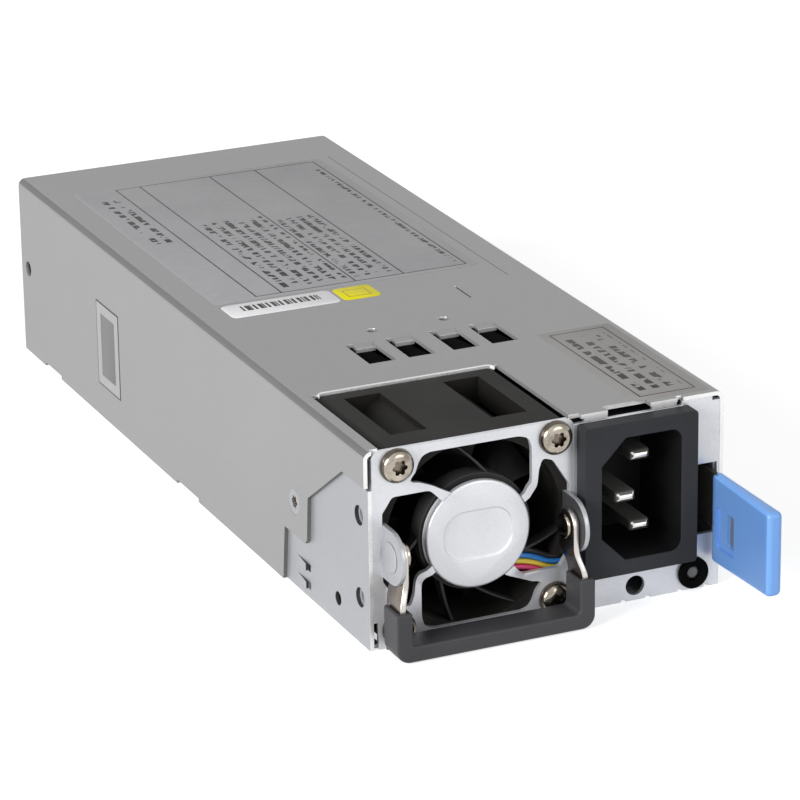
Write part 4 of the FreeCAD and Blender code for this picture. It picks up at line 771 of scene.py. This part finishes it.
# ---- handle's arms -------------------------------------------------------------------
def make_arm(name, side, outer_face, side_shade_finish):
    """Flat arm with a round top, stepped outward and forward in a smooth double bend."""
    radius, thickness, ahead = 3.2 * MM, 1.2 * MM, 3.4 * MM
    step, steps = 1.2 * MM, 14
    pivot_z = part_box("handle_bail")[1][2] - radius
    knee, ankle, foot = pivot_z - 3.8 * MM, pivot_z - 9.4 * MM, 6.5 * MM
    arm = new_disc(name, (outer_face - side * thickness / 2, plate_face - ahead, pivot_z),
                   radius, thickness, "x", 56)
    shift(arm, lambda co: co.z < pivot_z - same, (0, 0, foot - pivot_z))
    levels = [knee + (ankle - knee) * k / steps for k in range(steps + 1)]
    slice_through(arm, [((0, 0, level), (0, 0, 1)) for level in levels])
    for k, level in enumerate(levels[1:], 1):
        share = k / steps
        bend = step * share * share * (3 - 2 * share)
        lowest = level - near if k < steps else 0
        shift(arm, lambda co: lowest < co.z < level + near, (side * bend, -bend, 0))
    soften(arm, 0.32 * MM, 4, 40)
    stand_in(arm, "handle_bail", "spring")
    # the flat sides get a darker copy of the spring steel as painted shade
    repaint(arm, side_shade_finish, lambda centre, normal: abs(normal.x) > 0.85)


ear_to_arm = 1.1 * MM
make_arm("bail_arm_left", -1, ear_low[0] + ear_to_arm, "arm_side_shade")
make_arm("bail_arm_right", 1, ear_high[0] - ear_to_arm, "right_arm_shade")


# ---- release lever's cap -------------------------------------------------------------
cap_cuts = (        # name, depth, lowest and highest (y, z), corner and its segments, in millimetres
    ("thumb_recess", 0.6, (-102.7, 9.3), (-96.0, 17.6), 0.7, 4),
    ("leaf_slot", 1.4, (-102.3, 10.4), (-99.2, 17.0), 0.5, 3),
)
slot_floor = ((1.25, -102.6, 10.0), (1.6, -98.9, 17.3))     # (depth, y, z) of the steel seen in the slot
leaf_end_y = -95.2 * MM     # the spring leaf is hidden in the cap in front of this


def make_cap():
    """Round-edged cap, tapered at both ends, with a thumb recess and a slot to the steel leaf."""
    low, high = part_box("latch_cap")
    nose_taper, root_taper, edge_radius = 0.7 * MM, 1.0 * MM, 1.15 * MM
    cap = new_block("latch_cap_moulded", low, high)
    for level, inward in ((low[2], 1), (high[2], -1)):
        shift(cap, lambda co: abs(co.z - level) < same and co.y < low[1] + near, (0, 0, inward * nose_taper))
    shift(cap, lambda co: co.x > high[0] - same and co.y > high[1] - near, (-root_taper, 0, 0))
    bevel(cap, lambda a, b: True, edge_radius, 7)
    for name, depth, (y0, z0), (y1, z1), corner, segments in cap_cuts:
        cutter = new_block(name, (low[0] - 1 * MM, y0 * MM, z0 * MM), (low[0] + depth * MM, y1 * MM, z1 * MM))
        bevel(cutter, along(0), corner * MM, segments)
        cut_out(cap, cutter)
    soften(cap, 0.14 * MM, 2, 50)
    flatten(cap)
    stand_in(cap, "latch_cap", "cap")
    # painted shade: darker blue on the left faces
    repaint(cap, "cap_left_shade", lambda centre, normal: normal.x < -0.9)
    slice_through(eased["latch_leaf"], [((0, leaf_end_y, 0), (0, -1, 0))], clear_outer=True, use_fill=True)
    tongue = new_block("leaf_in_slot", *((low[0] + depth * MM, y * MM, z * MM) for depth, y, z in slot_floor))
    soften(tongue, 0.1 * MM, 2, 40)
    add_to(tongue, "latch_leaf", "slot_steel")


make_cap()


# ---- lamp ----------------------------------------------------------------------------
def make_lens():
    low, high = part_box("lamp_lens")
    lens = new_disc("lamp_lens_dome", midpoint(low, high), (high[0] - low[0]) / 2, high[1] - low[1], "y", 32)
    bevel(lens, lambda a, b: max(a.y, b.y) < low[1] + near, 0.7 * MM, 6)
    smooth(lens, 40)
    stand_in(lens, "lamp_lens", "lens")


make_lens()


# ---- fan leads -----------------------------------------------------------------------
lead_radius = 0.5 * MM
lead_pitch = 1.15 * MM
lead_bend = 1.6 * MM
lead_start = (      # x, then how far behind and above its own level in the tunnel, in millimetres
    (-9.0, 0, 3.2), (-5.0, -0.3, 2.9), (-2.0, -0.4, 2.2), (1.6, 0, 0.3),
)


def make_lead(name, route):
    """A round lead along a smooth curve led by the route's points."""
    curve = bpy.data.curves.new(name, "CURVE")
    curve.dimensions = "3D"
    curve.bevel_depth = lead_radius
    curve.bevel_resolution = 4
    curve.resolution_u = 8
    curve.use_fill_caps = True
    spline = curve.splines.new("NURBS")
    spline.points.add(len(route) - 1)
    for point, where in zip(spline.points, route):
        point.co = (*where, 1)
    spline.order_u = 3
    spline.use_endpoint_u = True
    take(add_object(name, curve))
    bpy.ops.object.convert(target="MESH")
    smooth(bpy.context.object, 50)
    return bpy.context.object


def make_leads():
    """Four leads from the motor to the tunnel in the flange and back to the plug, each in its colour."""
    low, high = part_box("fan_leads")
    front_y, plug_y = low[1] + lead_radius, high[1]
    far_x = high[0] - lead_radius
    for k, finish in enumerate(("lead_black", "lead_blue", "lead_yellow", "lead_red")):
        level = high[2] - lead_radius - k * lead_pitch
        route = [(x * MM, front_y + back * MM, level + up * MM) for x, back, up in lead_start]
        route.append((far_x - lead_bend, front_y, level))
        route += [(far_x, y, level) for y in (front_y, front_y + lead_bend, (front_y + plug_y) / 2, plug_y)]
        stand_in(make_lead("fan_" + finish, route), "fan_leads", finish)


make_leads()


# ---- fan's motor base with its struts and paper strip --------------------------------
motor_radius = 11.3 * MM
motor_depth = 3.6 * MM
base_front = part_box("fan_motor_base")[0][1]
strut_turns = ((71, 32), (-36, 27), (-95, 33), (-130, 26), (176, 25))    # start and sweep, degrees


def make_strut(name, start, sweep):
    """A thin, nearly straight strut that runs aslant from the motor to the bore."""
    inner, outer, steps = 10.6 * MM, 17.95 * MM, 8
    strut = new_block(name, (inner, base_front + 0.4 * MM, -0.5 * MM),
                      (outer, base_front + 2.9 * MM, 0.5 * MM))
    levels = [inner + (outer - inner) * k / steps for k in range(steps + 1)]
    slice_through(strut, [((level, 0, 0), (1, 0, 0)) for level in levels[1:-1]])
    for k, level in enumerate(levels):
        bow = math.sin(math.pi * k / steps) * 0.35 * MM
        across = (outer * math.cos(math.radians(sweep)) - outer) * k / steps + bow
        up = outer * math.sin(math.radians(sweep)) * k / steps
        shift(strut, lambda co: abs(co.x - level) < near, (across, 0, up))
    strut.data.transform(Matrix.Rotation(math.radians(-start), 4, "Y"))
    strut.data.transform(Matrix.Translation(fan_middle))
    soften(strut, 0.12 * MM, 2, 40)
    add_to(strut, "fan_motor_base", "strut")


def make_motor_base():
    """Stepped motor disc with its bearing tube drawn out behind it."""
    base = new_disc("motor_disc", (fan_middle.x, base_front + motor_depth / 2, fan_middle.z),
                    motor_radius, motor_depth, "y", 96)
    front_step, bearing_tube = (-1, 0.3 * MM, 0.12 * MM), (1, 7.2 * MM, 11.9 * MM)
    for facing, inset, move in (front_step, bearing_tube):
        pick_faces(base, lambda centre, normal: normal.y * facing > 0.9)
        bpy.ops.mesh.inset(thickness=inset)
        push((0, move, 0))
        leave_edit()
    soften(base, 0.2 * MM, 3, 40)
    stand_in(base, "fan_motor_base", "motor")
    for k, (start, sweep) in enumerate(strut_turns):
        make_strut("motor_strut_%d" % k, start, sweep)


def make_motor_label():
    """Paper label on the motor, of which only the strip on the left ear's side is left."""
    label = new_disc("motor_label", (fan_middle.x, base_front - 0.03 * MM, fan_middle.z),
                     10.55 * MM, 0.08 * MM, "y", 96)
    aside = Vector((math.cos(math.radians(174)), 0, math.sin(math.radians(174))))
    slice_through(label, [(fan_middle + aside * 6.8 * MM, aside)], clear_inner=True, use_fill=True)
    soften(label, 0.02 * MM, 1, 40)
    add_to(label, "fan_motor_base", "paper")


make_motor_base()
make_motor_label()


# ---- labels and scored line on the cover, places in millimetres ----------------------
label_places = {        # lowest and highest (x, y), corner radius
    "rating_label": ((-30.2, -5.5), (27.5, 76.7), 1.6),
    "code_label": ((-29.8, -14.4), (-6.5, -6.7), 1.3),
    "date_label": ((-5.8, -14.2), (2.3, -6.9), 1.1),
    "seal_label": ((19.0, -90.7), (34.5, -49.5), 0.5),
}
score_place = ((29.95, -14.0), (30.15, 77.1))


def block_on_cover(name, low, high, sunk, proud):
    return new_block(name, (low[0] * MM, low[1] * MM, cover_top - sunk * MM),
                     (high[0] * MM, high[1] * MM, cover_top + proud * MM))


def make_label(name, low, high, corner):
    label = block_on_cover(name, low, high, 0.02, 0.07)
    bevel(label, along(2), corner * MM, 5)
    soften(label, 0.03 * MM, 2, 40)
    add_to(label, "top_cover", name)


def make_score():
    line = block_on_cover("score_line", *score_place, 0.05, 0.03)
    pick_faces(line, lambda centre, normal: normal.z > 0.9)
    bpy.ops.mesh.inset(thickness=0.04 * MM)
    bpy.ops.transform.translate(value=(0, 0, 0.02 * MM))
    leave_edit()
    add_to(line, "top_cover", "score")


for name, (low, high, corner) in label_places.items():
    make_label(name, low, high, corner)
make_score()


# ---- lip of the fan's opening in the cover -------------------------------------------
def make_well_lip():
    """Sheared lip along the rear of the fan's opening, with its corners turned forward, painted near-white as
    a highlight.
    """
    rear_y = fan_high[1] + 0.35 * MM
    lip = new_block("well_lip", (fan_low[0] + 2.2 * MM, rear_y - 0.12 * MM, cover_top - 0.72 * MM),
                    (fan_high[0] - 1.6 * MM, rear_y + 0.6 * MM, cover_top + 0.06 * MM))
    for side in (-1, 1):
        pick_faces(lip, lambda centre, normal: normal.x * side > 0.9)
        push((side * 0.6 * MM, -0.35 * MM, 0))
        push((side * 0.4 * MM, -0.8 * MM, 0))
        leave_edit()
    soften(lip, 0.16 * MM, 3, 50)
    add_to(lip, "top_cover", "lip")


make_well_lip()


# ---- window frame pressed in the left side, (y, z) in millimetres --------------------
window_low, window_high = (33.0, 7.5), (45.4, 25.6)
rim_taper = (1, 0.97, 0.985)        # the rim's sunk floor as a share of its mouth


def window_block(name, proud, sunk, margin):
    """A block in the window's place, larger than its rim by a margin all round."""
    return new_block(name, (cover_left - proud * MM, *((value - margin) * MM for value in window_low)),
                     (cover_left + sunk * MM, *((value + margin) * MM for value in window_high)))


def sink_left_face(piece, inset, depth):
    """Insets a block's left face and pushes it in, and leaves it selected in edit mode."""
    pick_faces(piece, lambda centre, normal: normal.x < -0.9)
    bpy.ops.mesh.inset(thickness=inset * MM)
    push((depth * MM, 0, 0))


def make_window_frame():
    """Bright raised rim in a seam painted dark as shade, with a plain darker panel set inside it."""
    seam = window_block("window_seam", 0.06, 0.4, 0.25)
    sink_left_face(seam, 0.5, 0.1)
    leave_edit()
    soften(seam, 0.04 * MM, 2, 30)
    # the seam is painted near-black as shade
    add_to(seam, "top_cover", "shade_in_hollows")
    rim = window_block("window_rim", 0.10, 0.5, 0)
    sink_left_face(rim, 2.2, 0.25)
    middle = [value * MM for value in midpoint(window_low, window_high)]
    bpy.ops.transform.resize(value=rim_taper, center_override=(0, *middle))
    leave_edit()
    soften(rim, 0.15 * MM, 3, 30)
    add_to(rim, "top_cover", "window_rim")
    panel = window_block("window_panel", 0.03, 0.16, -2.1)
    bevel(panel, along(0), 0.3 * MM, 3)
    soften(panel, 0.03 * MM, 2, 40)
    add_to(panel, "top_cover", "window_panel")


make_window_frame()


# ---- stage ---------------------------------------------------------------------------
camera_turn = (-24.1264, 20.3579, -0.8106)      # azimuth, elevation and roll in degrees
camera_place = (-0.3126, -0.7250, 0.3051)
camera_lens = 185.7
floor_glow = 0.62       # only as seen directly, so that it doesn't light the part
sky_light, sky_seen = 0.36, 1.0
lamps = {               # place, size and power
    "key": ((-1.9, -0.8, 0.8), 1.1, 40),
    "fill": ((0.7, -1.7, 0.8), 1.2, 9),
}


def seen_directly(tree, otherwise, seen):
    """One value for camera, glossy and transmission rays, another for the rest."""
    path = tree.nodes.new("ShaderNodeLightPath")
    first = combined(tree, "MAXIMUM", path.outputs["Is Camera Ray"], path.outputs["Is Glossy Ray"])
    direct = combined(tree, "MAXIMUM", first, path.outputs["Is Transmission Ray"])
    return between(tree, direct, otherwise, seen, 0, 1)


def add_floor():
    """White floor that still takes the object's soft shadow."""
    made, tree, shader = new_material("floor_white")
    shader.inputs["Base Color"].default_value = (0.8, 0.8, 0.8, 1)
    shader.inputs["Roughness"].default_value = 0.9
    shader.inputs["Specular IOR Level"].default_value = 0.0
    shader.inputs["Emission Color"].default_value = (1, 1, 1, 1)
    tree.links.new(seen_directly(tree, 0.0, floor_glow), shader.inputs["Emission Strength"])
    deselect()
    bpy.ops.mesh.primitive_plane_add(size=8, location=(0, 0, 0))
    floor = bpy.context.object
    floor.name = "floor"
    floor.data.materials.append(made)


def add_camera():
    azimuth, elevation, roll = (math.radians(angle) for angle in camera_turn)
    back = Vector((math.sin(azimuth) * math.cos(elevation), -math.cos(azimuth) * math.cos(elevation),
                   math.sin(elevation)))
    level = Vector((math.cos(azimuth), math.sin(azimuth), 0))
    rise = back.cross(level)
    right = level * math.cos(roll) + rise * math.sin(roll)
    up = rise * math.cos(roll) - level * math.sin(roll)
    pose = Matrix((right, up, back)).transposed().to_4x4()
    pose.translation = Vector(camera_place)
    camera = bpy.data.cameras.new("camera")
    camera.lens = camera_lens
    camera.sensor_width = 36.0
    holder = add_object("camera", camera)
    holder.matrix_world = pose
    bpy.context.scene.camera = holder


def add_lamp(name, place, size, power):
    """A round lamp that shines at the frame's origin."""
    lamp = bpy.data.lights.new(name, "AREA")
    lamp.shape = "DISK"
    lamp.size = size
    lamp.energy = power
    holder = add_object(name, lamp)
    holder.location = place
    holder.rotation_euler = (-Vector(place)).to_track_quat("-Z", "Y").to_euler()


def add_world():
    world = bpy.data.worlds.new("studio")
    world.use_nodes = True
    tree = world.node_tree
    background = tree.nodes["Background"]
    background.inputs["Color"].default_value = (1, 1, 1, 1)
    tree.links.new(seen_directly(tree, sky_light, sky_seen), background.inputs["Strength"])
    bpy.context.scene.world = world


bpy.context.scene.view_settings.view_transform = "Standard"
add_floor()
add_camera()
add_world()
for name, (place, size, power) in lamps.items():
    add_lamp(name, place, size, power)
